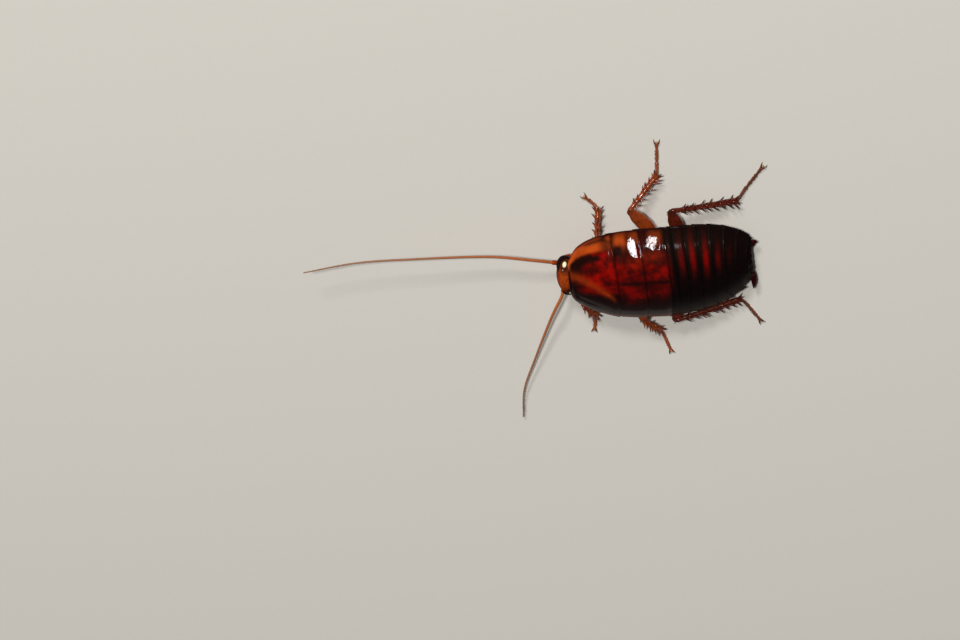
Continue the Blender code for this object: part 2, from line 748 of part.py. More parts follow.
def make_tarsus(name, leg, neighbours, material, collection):
    """A foot of five segments with two claws, its soles flat on the floor."""
    end = Vector(leg.toe)
    segments = (0.4, 0.16, 0.12, 0.08, 0.24)
    outline = ((0.04, 0.72), (0.75, 1.0), (0.96, 0.95))   # places along a segment, and its width there

    def body(drawn):
        start = Vector(leg.ankle)
        start = start + (end - start).normalized() * drawn
        points, widths, heights = [], [], []
        reached = 0.0
        for share in segments:
            for inside, swell in outline:
                t = reached + share * inside
                point = start.lerp(end, t)
                point.z = mix(start.z, leg.toe[2], smooth_step(t / 0.35))
                points.append(point)
                widths.append(FOOT_WIDTH * swell)
                heights.append(FOOT_HEIGHT * swell)
            reached += share
        rings = sections_along(points, widths, heights, 8)
        for ring in rings:
            for point in ring:
                point.z = max(point.z, 0.0)
        return loft(rings)

    along = (end - Vector(leg.ankle)).normalized()
    side = along.cross(Vector((0, 0, 1))).normalized()
    claws = []
    for way in (-1, 1):
        root = end + along * CLAW_ROOT.x + side * way * CLAW_ROOT.y + Vector((0, 0, CLAW_ROOT.z))
        claws.append(spine(root, along + side * way * CLAW_SPREAD, CLAW_LENGTH, CLAW_WIDTH))
    return fuse(name, draw_clear(body, neighbours), claws, material, collection)


def make_legs(trunk, material, collection):
    for label, legs in (("left", LEFT_LEGS), ("right", RIGHT_LEGS)):
        for place, leg in legs.items():
            rng = random.Random(f"{place} {label}")
            coxa = make_coxa(f"coxa_{place}_{label}", leg, material, collection)
            femur = make_femur(f"femur_{place}_{label}", leg, trunk + [coxa], material, collection, rng)
            tibia = make_tibia(f"tibia_{place}_{label}", leg, [femur], material, collection, rng)
            make_tarsus(f"tarsus_{place}_{label}", leg, [tibia], material, collection)


def centre_on_floor(collection):
    """Moves the whole animal so that the origin lies under the middle of its box."""
    bpy.context.view_layer.update()
    graph = bpy.context.evaluated_depsgraph_get()
    corners = []
    for thing in collection.objects:
        mesh = thing.evaluated_get(graph).to_mesh()
        corners += [thing.matrix_world @ vert.co for vert in mesh.vertices]
        thing.evaluated_get(graph).to_mesh_clear()
    lowest = Vector([min(c[i] for c in corners) for i in range(3)])
    highest = Vector([max(c[i] for c in corners) for i in range(3)])
    middle = (lowest + highest) / 2
    stand = bpy.data.objects.new("stand_point", None)
    stand.location = (-middle.x, -middle.y, -lowest.z)
    parts = list(collection.objects)
    collection.objects.link(stand)
    for thing in parts:
        thing.parent = stand


def main():
    clear_scene()
    collection = bpy.data.collections.new("wood_cockroach")
    bpy.context.scene.collection.children.link(collection)
    materials = {name: make_material(name) for name in COLOURS}
    shield = make_back_plates(materials["shell"], collection)
    thorax = make_thorax(materials["leg"], collection)
    abdomen = make_abdomen(materials["dark_shell"], collection)
    head = make_head(shield, materials["head"], collection)
    eye_left = make_eye("eye_left", -1, head, materials["eye"], collection)
    eye_right = make_eye("eye_right", 1, head, materials["eye"], collection)
    make_mouthparts(materials["head"], collection)
    make_palps(materials["leg"], collection)
    make_feeler("left", -1, [head, eye_left], materials["head"], materials["feeler"], collection)
    make_feeler("right", 1, [head, eye_right], materials["head"], materials["feeler"], collection)
    make_cerci(abdomen, materials["dark_shell"], collection)
    make_legs([thorax, abdomen], materials["leg"], collection)
    centre_on_floor(collection)


main()
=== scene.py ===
"""The looks of a life-size wood cockroach: glossy plates, spiny legs and ringed feelers.

Sizes named below are in millimetres in the animal's own frame: the head faces -X, the right
side is +Y, and the feet stand at z = 0. Meshes are made in metres, in the frame's place.
"""
import math
import random
from collections import namedtuple

import bpy
import numpy as np
from bpy.props import FloatProperty, FloatVectorProperty, IntProperty, PointerProperty
from mathutils import Matrix, Quaternion, Vector


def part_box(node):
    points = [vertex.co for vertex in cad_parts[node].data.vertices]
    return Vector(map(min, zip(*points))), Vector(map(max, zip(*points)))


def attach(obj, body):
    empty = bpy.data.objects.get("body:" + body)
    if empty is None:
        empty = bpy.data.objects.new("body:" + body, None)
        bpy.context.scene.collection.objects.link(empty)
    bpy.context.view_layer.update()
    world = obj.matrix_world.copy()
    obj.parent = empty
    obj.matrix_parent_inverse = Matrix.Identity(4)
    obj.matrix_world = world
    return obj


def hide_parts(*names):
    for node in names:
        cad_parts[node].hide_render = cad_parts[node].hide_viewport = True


bl_info = {
    "name": "Wood cockroach looks",
    "version": (1, 0, 0),
    "blender": (4, 5, 0),
    "location": "3D View > Sidebar > Cockroach",
    "description": "Builds the shell, head, feelers and legs of a still wood cockroach on its solids",
    "category": "Object",
}

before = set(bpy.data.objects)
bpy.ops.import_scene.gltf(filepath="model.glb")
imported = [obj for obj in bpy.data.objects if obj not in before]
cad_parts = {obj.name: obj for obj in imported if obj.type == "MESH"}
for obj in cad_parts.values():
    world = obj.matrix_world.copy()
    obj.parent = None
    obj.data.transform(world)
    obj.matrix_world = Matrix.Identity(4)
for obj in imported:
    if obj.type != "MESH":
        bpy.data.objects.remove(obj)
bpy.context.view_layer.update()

MM = 0.001
UP = np.array([0.0, 0.0, 1.0])
BODY = "root"

# The back's outline and height, as the solids have them
WIDEST = 0.5
FRONT_REACH = 15.2
REAR_REACH = 16.9
HALF_WIDTH = 8.7
TAIL_BEND = 0.0042
RIDGE = 7.8
RIM = 4.36
FRONT_FALL = 1.75
REAR_FALL = 4.6
RIM_FALL = 2.2
RIM_DIP = 0.35
RIM_RISE = 0.95
BACK_CURVE = 2.3
FALL_FROM_FRONT = -4.0
FALL_FROM_REAR = 3.0

# Where the plates begin and end along the middle of the back
SHIELD_FRONT = -14.4
SHIELD_REAR = -5.9
SECOND_REAR = -1.2
THIRD_REAR = 2.95
TAIL_PLATE_REAR = 15.9
PLATE_STEP = 0.25
EDGE_SWEEP = -0.8
TAIL_SWEEP = 0.5

# The head
HEAD_CENTRE = Vector((-14.75, 0.1, 3.3))
HEAD_TILT = math.radians(24.0)
HEAD_TURN = math.radians(5.0)
HEAD_DEPTH = 1.7
HEAD_SIDE = 3.5
HEAD_HEIGHT = 2.75
JAW_NARROWING = 0.45
HALF_FRONT_EDGE = 3.0
SOCKET_DIRECTION = Vector((-0.8, 0.68, 0.0))

# The camera of the photograph
CAMERA_PLACE = Vector((33.26, 214.02, 362.32))
CAMERA_AIM = Vector((-31.77, -9.94, 0.0))
CAMERA_ROLL = math.radians(-169.98)

# The lights, seen from the animal
KEY_DIRECTION = Vector((-0.12, 0.80, 0.58)).normalized()
KEY_DISTANCE = 1.3
KEY_WIDTH = 0.24
FLASH_DIRECTION = Vector((-0.05, 0.51, 0.845)).normalized()
FLASH_DISTANCE = 1.2
FLASH_WIDTH = 0.12

# The frame puts the middle of the animal's box over the origin; its shield gives the shift
shield_low, shield_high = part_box("pronotum")
STAND = Vector((shield_low.x - SHIELD_FRONT * MM, (shield_low.y + shield_high.y) / 2, 0.0))

SIDES = (("left", -1), ("right", 1))

# Every spine and hair: how thick it is from its swollen root to its tip
SPINE_STATIONS = np.array([0.0, 0.08, 0.2, 0.45, 0.7, 0.88, 1.0])
SPINE_RADII = np.array([0.62, 0.62, 0.5, 0.4, 0.27, 0.14, 0.02])
HAIR_WIDTH = 0.035

# How far each kind stays above the floor
SPINE_CLEARANCE = 0.06
HAIR_CLEARANCE = 0.05
SOCKET_CLEARANCE = 0.03


# Shape of the back

def smooth_step(value):
    value = np.clip(value, 0.0, 1.0)
    return value * value * (3.0 - 2.0 * value)


def mix(a, b, share):
    return a + (b - a) * share


def hill(value, centre, spread):
    """A smooth bump of height 1 round a centre."""
    return np.exp(-((value - centre) / spread) ** 2)


def plateau(value, centre, spread):
    """Like a hill, with a flat top and steeper sides."""
    return np.exp(-np.abs((value - centre) / spread) ** 4)


def half_width(x):
    ahead = np.maximum(0.0, WIDEST - x) / FRONT_REACH
    behind = np.maximum(0.0, x - WIDEST) / REAR_REACH
    front = np.maximum(0.0, 1.0 - ahead ** 2.6) ** 0.353
    rear = np.maximum(0.0, 1.0 - behind ** 3.1) ** 0.5
    return HALF_WIDTH * np.where(x < WIDEST, front, rear)


def middle_line(x):
    return TAIL_BEND * np.maximum(0.0, x - FALL_FROM_REAR) ** 2


def ridge_height(x):
    ahead = np.maximum(0.0, FALL_FROM_FRONT - x) / (FALL_FROM_FRONT - SHIELD_FRONT)
    behind = np.maximum(0.0, x - FALL_FROM_REAR) / (WIDEST + REAR_REACH - FALL_FROM_REAR)
    return RIDGE - FRONT_FALL * ahead ** 2 - REAR_FALL * behind ** 1.9


def rim_height(x):
    droop = RIM_DIP * smooth_step((SHIELD_REAR - x) / 4.0)
    rise = RIM_RISE * smooth_step((-12.6 - x) / 1.9)
    return RIM - droop + rise - RIM_FALL * (np.maximum(0.0, x) / 16.5) ** 1.5


def back_height(x, across):
    rim = rim_height(x)
    return rim + (ridge_height(x) - rim) * (1.0 - np.abs(across) ** BACK_CURVE)


def edge_sweep(x):
    share = (x - THIRD_REAR) / (TAIL_PLATE_REAR - THIRD_REAR)
    return mix(EDGE_SWEEP, TAIL_SWEEP, smooth_step(share))


# Mesh helpers

class Shapes:
    """Collects shapes that become one mesh, with marks that its material reads."""

    def __init__(self):
        self.points = []
        self.faces = []
        self.marks = []
        self.count = 0

    def add(self, points, faces, **marks):
        points = np.asarray(points, float).reshape(-1, 3)
        self.faces.extend(tuple(i + self.count for i in face) for face in faces)
        self.points.append(points)
        self.marks.append((len(points), marks))
        self.count += len(points)

    def build(self, name, material, node, slot):
        """Makes the piece, which stands for this node of the solids and stays with the body."""
        mesh = bpy.data.meshes.new(name)
        points = np.vstack(self.points) * MM + np.array(STAND)
        mesh.from_pydata(points.tolist(), [], self.faces)
        for key in sorted({key for _, marks in self.marks for key in marks}):
            values = np.concatenate([np.broadcast_to(np.ravel(marks.get(key, 0.0)), (count,))
                                     for count, marks in self.marks])
            mesh.attributes.new(key, "FLOAT", "POINT").data.foreach_set("value", values.astype(np.float32))
        mesh.validate()
        mesh.shade_smooth()
        mesh.materials.append(material)
        thing = bpy.data.objects.new(name, mesh)
        bpy.context.scene.collection.objects.link(thing)
        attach(thing, BODY)
        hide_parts(node)
        return thing


def unit(vector):
    return vector / np.linalg.norm(vector, axis=-1, keepdims=True)


def sideways(ahead, up=UP):
    """The directions to the side of a path and to its top."""
    side = unit(np.cross(ahead, up))
    return side, np.cross(side, ahead)


def turned(side, top, angle):
    """The direction at an angle round a limb, from its side towards its top."""
    return side * math.cos(angle) + top * math.sin(angle)


def round_angles(count):
    return np.linspace(0.0, 2 * np.pi, count, endpoint=False)


def grid_faces(rows, columns, closed=False):
    """Quads of a grid of points; closed joins the last column to the first."""
    faces = []
    for r in range(rows - 1):
        for c in range(columns if closed else columns - 1):
            d = (c + 1) % columns
            faces.append((r * columns + c, r * columns + d, (r + 1) * columns + d, (r + 1) * columns + c))
    return faces


def loft(rings):
    """Points and faces of a body through equal rings, closed at both ends."""
    rings = np.asarray(rings, float)
    rows, columns = rings.shape[:2]
    points = np.vstack([rings.reshape(-1, 3), rings[0].mean(0), rings[-1].mean(0)])
    faces = grid_faces(rows, columns, closed=True)
    far, first, last = (rows - 1) * columns, rows * columns, rows * columns + 1
    for c in range(columns):
        d = (c + 1) % columns
        faces += [(d, c, first), (far + c, far + d, last)]
    corner, second, third = (points[[face[k] for face in faces]] for k in range(3))
    outward = np.cross(second - corner, third - corner)
    if np.einsum("ij,ij->i", corner - points.mean(0), outward).sum() < 0:
        faces = [face[::-1] for face in faces]
    return points, faces


def per_ring(values, sides, ends):
    """A mark for every point of a loft, from a value for each ring and for each closed end."""
    return np.concatenate([np.repeat(values, sides), ends])


def lengths_along(path):
    return np.concatenate([[0.0], np.cumsum(np.linalg.norm(np.diff(path, axis=0), axis=1))])


def points_at(path, lengths, wanted):
    return np.stack([np.interp(wanted, lengths, path[:, k]) for k in range(3)], 1)


def curve_through(points, count):
    """Evenly spaced points on a smooth curve through a few given ones."""
    points = [np.array(p, float) for p in points]
    padded = [points[0] * 2 - points[1]] + points + [points[-1] * 2 - points[-2]]
    fine = []
    for a, b, c, d in zip(padded, padded[1:], padded[2:], padded[3:]):
        for t in np.arange(0.0, 1.0, 0.05):
            fine.append(0.5 * (2 * b + (c - a) * t + (2 * a - 5 * b + 4 * c - d) * t * t
                               + (3 * b - 3 * c + d - a) * t ** 3))
    fine = np.array(fine + [points[-1]])
    lengths = lengths_along(fine)
    return points_at(fine, lengths, np.linspace(0.0, lengths[-1], count))


def sections(path, widths, heights, sides, up=UP, lowest=0.0):
    """Oval rings along a path, flattened where they would sink below the lowest level."""
    path = np.asarray(path, float)
    side, top = sideways(unit(np.gradient(path, axis=0)), up)
    angles = 2.0 * np.pi * (np.arange(sides) + 0.5) / sides
    a = np.cos(angles)[None, :, None] * (np.asarray(widths) / 2)[:, None, None]
    b = np.sin(angles)[None, :, None] * (np.asarray(heights) / 2)[:, None, None]
    rings = path[:, None, :] + side[:, None, :] * a + top[:, None, :] * b
    rings[..., 2] = np.maximum(rings[..., 2], lowest)
    return rings


def profile(stations, values, where):
    """A smooth curve through values at stations, read at the places asked for."""
    k = np.clip(np.searchsorted(stations, where, side="right") - 1, 0, len(stations) - 2)
    stations, values = np.asarray(stations), np.asarray(values)
    share = np.clip((where - stations[k]) / (stations[k + 1] - stations[k]), 0.0, 1.0)
    return mix(values[k], values[k + 1], (share + smooth_step(share)) / 2)


def add_spine(shapes, root, direction, length, width, bend=0.0, sides=7, clearance=0.0, dark=1.0, **marks):
    """A tapered, bent spine with a swollen root and a dark tip, left out if it comes near the floor."""
    direction = unit(direction)
    path = root + direction * (SPINE_STATIONS * length)[:, None]
    path[:, 2] += bend * length * SPINE_STATIONS ** 2
    widths = 2 * SPINE_RADII * width
    up = UP if abs(direction[2]) < 0.9 else (1.0, 0.0, 0.0)
    points, faces = loft(sections(path, widths, widths, sides, up))
    if points[:, 2].min() > clearance:
        shapes.add(points, faces, tip=dark * per_ring(SPINE_STATIONS, sides, (0.0, 1.0)), **marks)


# Node helpers

def fill(node, inputs):
    """Links outputs to a node's sockets, or sets the sockets to numbers and colours."""
    for name, value in inputs.items():
        if isinstance(value, bpy.types.NodeSocket):
            node.id_data.links.new(value, node.inputs[name])
        else:
            node.inputs[name].default_value = value


def new_node(tree, kind, output, inputs=None, **options):
    """Adds a node with its options and inputs, and gives one of its outputs."""
    node = tree.nodes.new("ShaderNode" + kind)
    for name, value in options.items():
        setattr(node, name, value)
    fill(node, inputs or {})
    return node.outputs[output]


def mark(tree, name):
    return new_node(tree, "Attribute", "Fac", attribute_name=name)


def body_place(tree):
    """Object coordinates in millimetres."""
    place = new_node(tree, "TexCoord", "Object")
    return new_node(tree, "VectorMath", "Vector", {0: place, "Scale": 1.0 / MM}, operation="SCALE")


def noise(tree, place, scale, detail=3.0, roughness=0.55):
    inputs = {"Vector": place, "Scale": scale, "Detail": detail, "Roughness": roughness}
    return new_node(tree, "TexNoise", "Fac", inputs)


def calculate(tree, operation, a, b):
    return new_node(tree, "Math", 0, {0: a, 1: b}, operation=operation)


def times(tree, a, b):
    return calculate(tree, "MULTIPLY", a, b)


def ramp(tree, value, low, high, out_low=0.0, out_high=1.0):
    inputs = {"Value": value, "From Min": low, "From Max": high, "To Min": out_low, "To Max": out_high}
    return new_node(tree, "MapRange", "Result", inputs, interpolation_type="SMOOTHSTEP")


def blend_colours(tree, share, a, b):
    return new_node(tree, "Mix", 2, {"Factor": share, 6: a, 7: b}, data_type="RGBA")


def tint(colour, factor):
    """A darker or a lighter shade of a colour."""
    return (*(factor * value for value in colour[:3]), 1.0)


def bump(tree, height, depth, strength=1.0):
    """Depth is in millimetres."""
    return new_node(tree, "Bump", "Normal", {"Height": height, "Distance": depth * MM, "Strength": strength})


def gloss(shader, coat, coat_roughness, glow=0.0, specular=0.05):
    """The clear outer layer of the shell, and how far light spreads below it."""
    fill(shader, {"Coat Weight": coat, "Coat Roughness": coat_roughness, "Coat IOR": 1.5,
                  "Specular IOR Level": specular, "Specular Tint": (1.0, 0.5, 0.3, 1.0),
                  "Subsurface Weight": glow, "Subsurface Radius": (1.0, 0.25, 0.1),
                  "Subsurface Scale": 0.6 * MM})


# The user's sizes and colours

def length(name, description, default):
    return FloatProperty(name=name, description=description, default=default * MM, min=0.0, precision=5,
                         subtype="DISTANCE", unit="LENGTH")


def colour(name, description, default):
    return FloatVectorProperty(name=name, description=description, default=(*default, 1.0), size=4,
                               min=0.0, max=1.0, subtype="COLOR")


class ShellSettings(bpy.types.PropertyGroup):
    thickness: length("Plate thickness", "Thickness of the plates of the back", 0.24)
    tuck: length("Tuck", "How far a plate runs on under the one before it", 0.9)
    bead: length("Rim bead", "Height of the raised edge round the plates", 0.07)
    red: colour("Red", "The glowing red of the middle of the plates", (0.3, 0.002, 0.0006))
    # Besides the thin amber sides, the amber mark carries painted sheen along the left rims, the shield's
    # painted reflection band and painted glow beside the highlights.
    amber: colour("Amber", "The thin, bright sides of the plates", (0.5, 0.07, 0.007))
    dark: colour("Dark", "The blotches, seams and shaded sides", (0.009, 0.0016, 0.0014))


class AbdomenSettings(bpy.types.PropertyGroup):
    black: colour("Black", "The belly's plates", (0.003, 0.0018, 0.002))
    stripe: colour("Stripe", "The dark red bands of the front plates", (0.19, 0.001, 0.0006))
    # The underside colour also paints a sheen along the left rim of the belly's plates.
    under: colour("Underside", "The plates of the underside", (0.075, 0.02, 0.008))


class HeadSettings(bpy.types.PropertyGroup):
    skin: colour("Head", "The orange-brown of the head", (0.4, 0.058, 0.008))
    # The head shade mark is the redder front of the head, and also painted shade on the head's left side.
    shade: colour("Head shade", "The redder front of the head", (0.17, 0.013, 0.004))
    spot: colour("Pale spot", "The pale window beside each feeler", (0.92, 0.86, 0.55))
    eye: colour("Eye", "The compound eye", (0.006, 0.002, 0.0025))
    facet: length("Facet", "Width of one facet of an eye", 0.07)


class FeelerSettings(bpy.types.PropertyGroup):
    rings: IntProperty(name="Rings", description="Rings of each feeler", default=118, min=20, max=200)
    tip: length("Tip radius", "Radius of a feeler at its tip", 0.11)
    root_colour: colour("Root", "Orange-brown near the head", (0.45, 0.12, 0.03))
    tip_colour: colour("Tip", "Tan-grey at the far end", (0.30, 0.19, 0.12))


class LegSettings(bpy.types.PropertyGroup):
    spine: length("Spine length", "Length of the longest spines of a shin", 1.4)
    light: colour("Light leg", "The orange-brown front and middle legs", (0.34, 0.055, 0.009))
    deep: colour("Dark leg", "The red-brown hind legs", (0.12, 0.014, 0.005))
    claw: colour("Claw", "The dark ends of spines and claws", (0.03, 0.007, 0.004))


class StageSettings(bpy.types.PropertyGroup):
    floor: colour("Floor", "The plain floor", (0.72, 0.68, 0.61))
    world: colour("Surround", "The light all round", (0.86, 0.88, 0.92))
    world_strength: FloatProperty(name="Surround strength", description="Strength of the light all round",
                                  default=0.09, min=0.0)
    key: FloatProperty(name="Key light", description="Power of the large soft light", default=7.0, min=0.0,
                       unit="POWER")
    flash: FloatProperty(name="Small light", description="Power of the small light near the camera",
                         default=8.8, min=0.0, unit="POWER")
    lens: FloatProperty(name="Lens", description="Focal length on a 36 mm sensor", default=92.14, min=1.0)


# Materials

def shell_material(tree, shader, settings):
    """Red-brown cuticle: amber where it is thin, nearly black at blotches and seams, with painted shade on
    the left sides, a painted sheen along the left rims, a painted reflection band on the shield and painted
    glow beside the highlights.
    """
    place = body_place(tree)
    broad = noise(tree, place, 0.55, 4.0)
    cloudy = noise(tree, place, 0.6, 1.5, 0.5)
    fine = noise(tree, place, 9.0)
    base = blend_colours(tree, ramp(tree, broad, 0.36, 0.66), tint(settings.red, 0.35), settings.red)
    red = times(tree, mark(tree, "red"), ramp(tree, cloudy, 0.34, 0.62, 0.35, 1.0))
    base = blend_colours(tree, red, settings.dark, base)
    amber = times(tree, mark(tree, "amber"), ramp(tree, cloudy, 0.2, 0.62, 0.7, 1.0))
    base = blend_colours(tree, amber, base, settings.amber)
    # The dark mark holds the blotches and seams, and also painted shade on the left side of the plates.
    blotch = times(tree, mark(tree, "dark"), ramp(tree, cloudy, 0.22, 0.5, 0.9, 1.0))
    base = blend_colours(tree, blotch, base, settings.dark)
    grain = calculate(tree, "ADD", fine, times(tree, noise(tree, place, 2.6, 2.0), 2.0))
    ragged = times(tree, noise(tree, place, 2.2, 2.0, 0.6), mark(tree, "ragged"))
    fill(shader, {"Base Color": base, "Roughness": ramp(tree, fine, 0.3, 0.7, 0.45, 0.6),
                  "Normal": bump(tree, grain, 0.022), "Coat Normal": bump(tree, ragged, 0.029)})
    gloss(shader, 0.25, 0.06, 0.12, specular=0.06)


def belly_material(tree, shader, settings):
    """Black plates with dark red bands."""
    place = body_place(tree)
    cloudy = noise(tree, place, 1.3, 4.0, 0.6)
    fine = noise(tree, place, 8.0)
    base = blend_colours(tree, ramp(tree, cloudy, 0.35, 0.7), settings.black, (0.0055, 0.0022, 0.002, 1.0))
    stripe = times(tree, mark(tree, "stripe"), ramp(tree, cloudy, 0.25, 0.6, 0.5, 1.0))
    base = blend_colours(tree, stripe, base, settings.stripe)
    # The under mark is the brown of the underside, and on the upper plates a painted sheen along the left
    # rim.
    base = blend_colours(tree, mark(tree, "under"), base, settings.under)
    grain = calculate(tree, "ADD", fine, noise(tree, place, 3.0, 2.0))
    fill(shader, {"Base Color": base, "Roughness": ramp(tree, fine, 0.3, 0.7, 0.45, 0.6),
                  "Normal": bump(tree, grain, 0.02)})
    gloss(shader, 0.012, 0.12, specular=0.06)


def head_material(tree, shader, settings):
    place = body_place(tree)
    cloudy = noise(tree, place, 1.8, 4.0)
    fine = noise(tree, place, 10.0)
    base = blend_colours(tree, ramp(tree, cloudy, 0.3, 0.7), tint(settings.skin, 0.62), settings.skin)
    for name, tone in (("shade", settings.shade), ("dark", (0.012, 0.006, 0.004, 1.0)),
                       ("pale", settings.spot)):
        base = blend_colours(tree, mark(tree, name), base, tone)
    fill(shader, {"Base Color": base, "Roughness": ramp(tree, fine, 0.3, 0.7, 0.24, 0.38),
                  "Normal": bump(tree, fine, 0.02)})
    gloss(shader, 0.12, 0.1, 0.15, specular=0.0)


def eye_material(tree, shader, settings):
    """Black glass over small round facets."""
    facets = new_node(tree, "TexVoronoi", "Distance",
                      {"Vector": body_place(tree), "Scale": MM / settings.facet})
    base = blend_colours(tree, ramp(tree, facets, 0.2, 0.7), settings.eye, tint(settings.eye, 2.5))
    dome = calculate(tree, "SUBTRACT", 1.0, facets)
    fill(shader, {"Base Color": base, "Roughness": 0.2, "Normal": bump(tree, dome, 0.02, 0.8)})
    gloss(shader, 0.12, 0.08, specular=0.0)


def feeler_material(tree, shader, settings):
    dark = tint(settings.root_colour, 0.5)
    base = blend_colours(tree, mark(tree, "along"), settings.root_colour, settings.tip_colour)
    base = blend_colours(tree, mark(tree, "joint"), base, dark)
    speckle = noise(tree, body_place(tree), 14.0, 2.0)
    base = blend_colours(tree, ramp(tree, speckle, 0.5, 0.8, 0.0, 0.35), base, dark)
    fill(shader, {"Base Color": base, "Roughness": 0.42, "Normal": bump(tree, speckle, 0.015)})
    gloss(shader, 0.15, 0.2, 0.1)


def leg_material(tree, shader, tone, claw):
    """Glossy cuticle with darker joints and nearly black spine tips."""
    place = body_place(tree)
    cloudy = noise(tree, place, 1.4, 4.0)
    fine = noise(tree, place, 9.0)
    base = blend_colours(tree, ramp(tree, cloudy, 0.3, 0.7), tint(tone, 0.6), tone)
    base = blend_colours(tree, mark(tree, "joint"), base, tint(tone, 0.35))
    base = blend_colours(tree, ramp(tree, mark(tree, "tip"), 0.25, 0.9), base, claw)
    base = blend_colours(tree, mark(tree, "pad"), base, (0.5, 0.33, 0.18, 1.0))
    fill(shader, {"Base Color": base, "Roughness": ramp(tree, fine, 0.3, 0.7, 0.24, 0.38),
                  "Normal": bump(tree, fine, 0.02),
                  "Coat Normal": bump(tree, noise(tree, place, 1.7, 2.0), 0.045)})
    gloss(shader, 0.8, 0.14, 0.1, specular=0.1)


def light_leg_material(tree, shader, settings):
    leg_material(tree, shader, settings.light, settings.claw)


def dark_leg_material(tree, shader, settings):
    leg_material(tree, shader, settings.deep, settings.claw)


def floor_material(tree, shader, settings):
    grain = noise(tree, body_place(tree), 0.9)
    base = blend_colours(tree, grain, settings.floor, tint(settings.floor, 0.97))
    fill(shader, {"Base Color": base, "Roughness": 0.95, "Specular IOR Level": 0.0})


FINISHES = {
    "red shell": (shell_material, "cockroach_shell"),
    "black shell": (belly_material, "cockroach_abdomen"),
    "head skin": (head_material, "cockroach_head"),
    "compound eye": (eye_material, "cockroach_head"),
    "feeler rings": (feeler_material, "cockroach_feelers"),
    "light leg": (light_leg_material, "cockroach_legs"),
    "dark leg": (dark_leg_material, "cockroach_legs"),
    "plain floor": (floor_material, "cockroach_stage"),
}


def finish(context, name):
    """The material of this name, made when it is first asked for."""
    material = bpy.data.materials.get(name)
    if not material:
        material = bpy.data.materials.new(name)
        material.use_nodes = True
        make, group = FINISHES[name]
        tree = material.node_tree
        make(tree, tree.nodes["Principled BSDF"], getattr(context.scene, group))
    return material


# The plates of the back

def share_grid(rows, columns):
    """Shares of a plate's length, 0 to 1 backward, and of its half width, -1 to 1."""
    return np.meshgrid(np.linspace(0.0, 1.0, rows), np.linspace(-1.0, 1.0, columns), indexing="ij")


def plate_surface(front, rear, rows, columns, tuck, blunt=False):
    """Shares along and across a plate, closer together at its sides, and where they are along x."""
    along, across = share_grid(rows, columns)
    across = np.sin(across * np.pi / 2)
    if blunt:
        front_x = np.full_like(across, front)
        spacing = 1.0 - np.cos(along * np.pi / 2)
    else:
        front_x = front - tuck + edge_sweep(front) * across ** 2
        spacing = along
    rear_x = rear + edge_sweep(rear) * across ** 2
    return along, across, mix(front_x, rear_x, spacing)


PLATE_ROWS, PLATE_COLUMNS = 90, 200

# Nearly flat patches of two plates: middle, reach and slant
Facet = namedtuple("Facet", "x y reach_x reach_y lean")
FACETS = {
    "mesonotum": Facet(-2.85, 6.15, 1.4, 2.15, -0.21),
    "metanotum": Facet(0.4, 7.0, 1.1, 1.15, -0.3),
}


def flattened(x, y, z, facet):
    """Flattens a patch of a plate so that it faces halfway between the camera and the small light."""
    across = y - facet.y
    from_middle = np.hypot((x - facet.x - facet.lean * across) / facet.reach_x, across / facet.reach_y)
    middle = np.argmin(np.hypot(x - facet.x, y - facet.y))
    place = Vector((facet.x, facet.y, float(z.ravel()[middle])))
    lamp = FLASH_DIRECTION * FLASH_DISTANCE / MM - STAND / MM
    facing = (CAMERA_PLACE - place).normalized() + (lamp - place).normalized()
    level = place.z - ((x - place.x) * facing.x + (y - place.y) * facing.y) / facing.z
    return mix(z, level, np.exp(-from_middle ** 6)), np.exp(-(from_middle / 1.5) ** 4)


def make_plate(settings, material, node, front, rear, paint, blunt):
    """One curved plate with a raised bead at its rim, thinner towards its edges."""
    along, across, x = plate_surface(front, rear, PLATE_ROWS, PLATE_COLUMNS, settings.tuck / MM, blunt)
    wide = half_width(x)
    y = middle_line(x) + across * wide
    from_side = (1.0 - np.abs(across)) * wide
    from_rear = (1.0 - along) * (rear - front)
    from_edge = np.minimum(from_side, from_rear)
    tucked = 0.0
    if blunt:
        from_edge = np.minimum(from_edge, x - front)
    else:
        behind = x - front - edge_sweep(front) * across ** 2
        tucked = 0.1 * (1.0 - smooth_step((behind + 0.1) / 0.5))
    bead = settings.bead / MM * (hill(from_edge, 0.08, 0.16) - 0.8 * hill(from_edge, 0.5, 0.28))
    z = back_height(x, across) + PLATE_STEP * along ** 3 - tucked + bead
    ragged = 0.0
    if node in FACETS:
        z, ragged = flattened(x, y, z, FACETS[node])
    if blunt:
        z -= 0.10 * hill(np.abs(across), 0.42 + 0.25 * along, 0.12) * hill(along, 0.55, 0.3)
        z += 0.05 * hill(across, 0.0, 0.2) * hill(along, 0.45, 0.25)
    shapes = Shapes()
    shapes.add(np.stack([x, y, z], -1), grid_faces(PLATE_ROWS, PLATE_COLUMNS), ragged=ragged,
               **paint(x, y, across, along))
    thing = shapes.build(f"shell_{node}", material, node, "shell")
    group = thing.vertex_groups.new(name="thin")
    for index, value in enumerate((0.3 + 0.7 * smooth_step(from_edge / 0.7)).ravel()):
        group.add([index], float(value), "REPLACE")
    shell = thing.modifiers.new("Thickness", "SOLIDIFY")
    shell.thickness = settings.thickness
    shell.offset = -1.0
    shell.vertex_group = group.name


# The paint of the plates: places and reaches along x and y in millimetres, and shares across

def seams(across, along, x, rear_width):
    """The dark line at a plate's rear edge and the one round its rim."""
    strength = mix(0.3, 0.85, smooth_step((x + 13.8) / 1.5))
    round_rim = strength * hill((1.0 - np.abs(across)) * half_width(x), 0.0, 0.14)
    return np.maximum(0.8 * hill(along, 1.0, rear_width), round_rim)


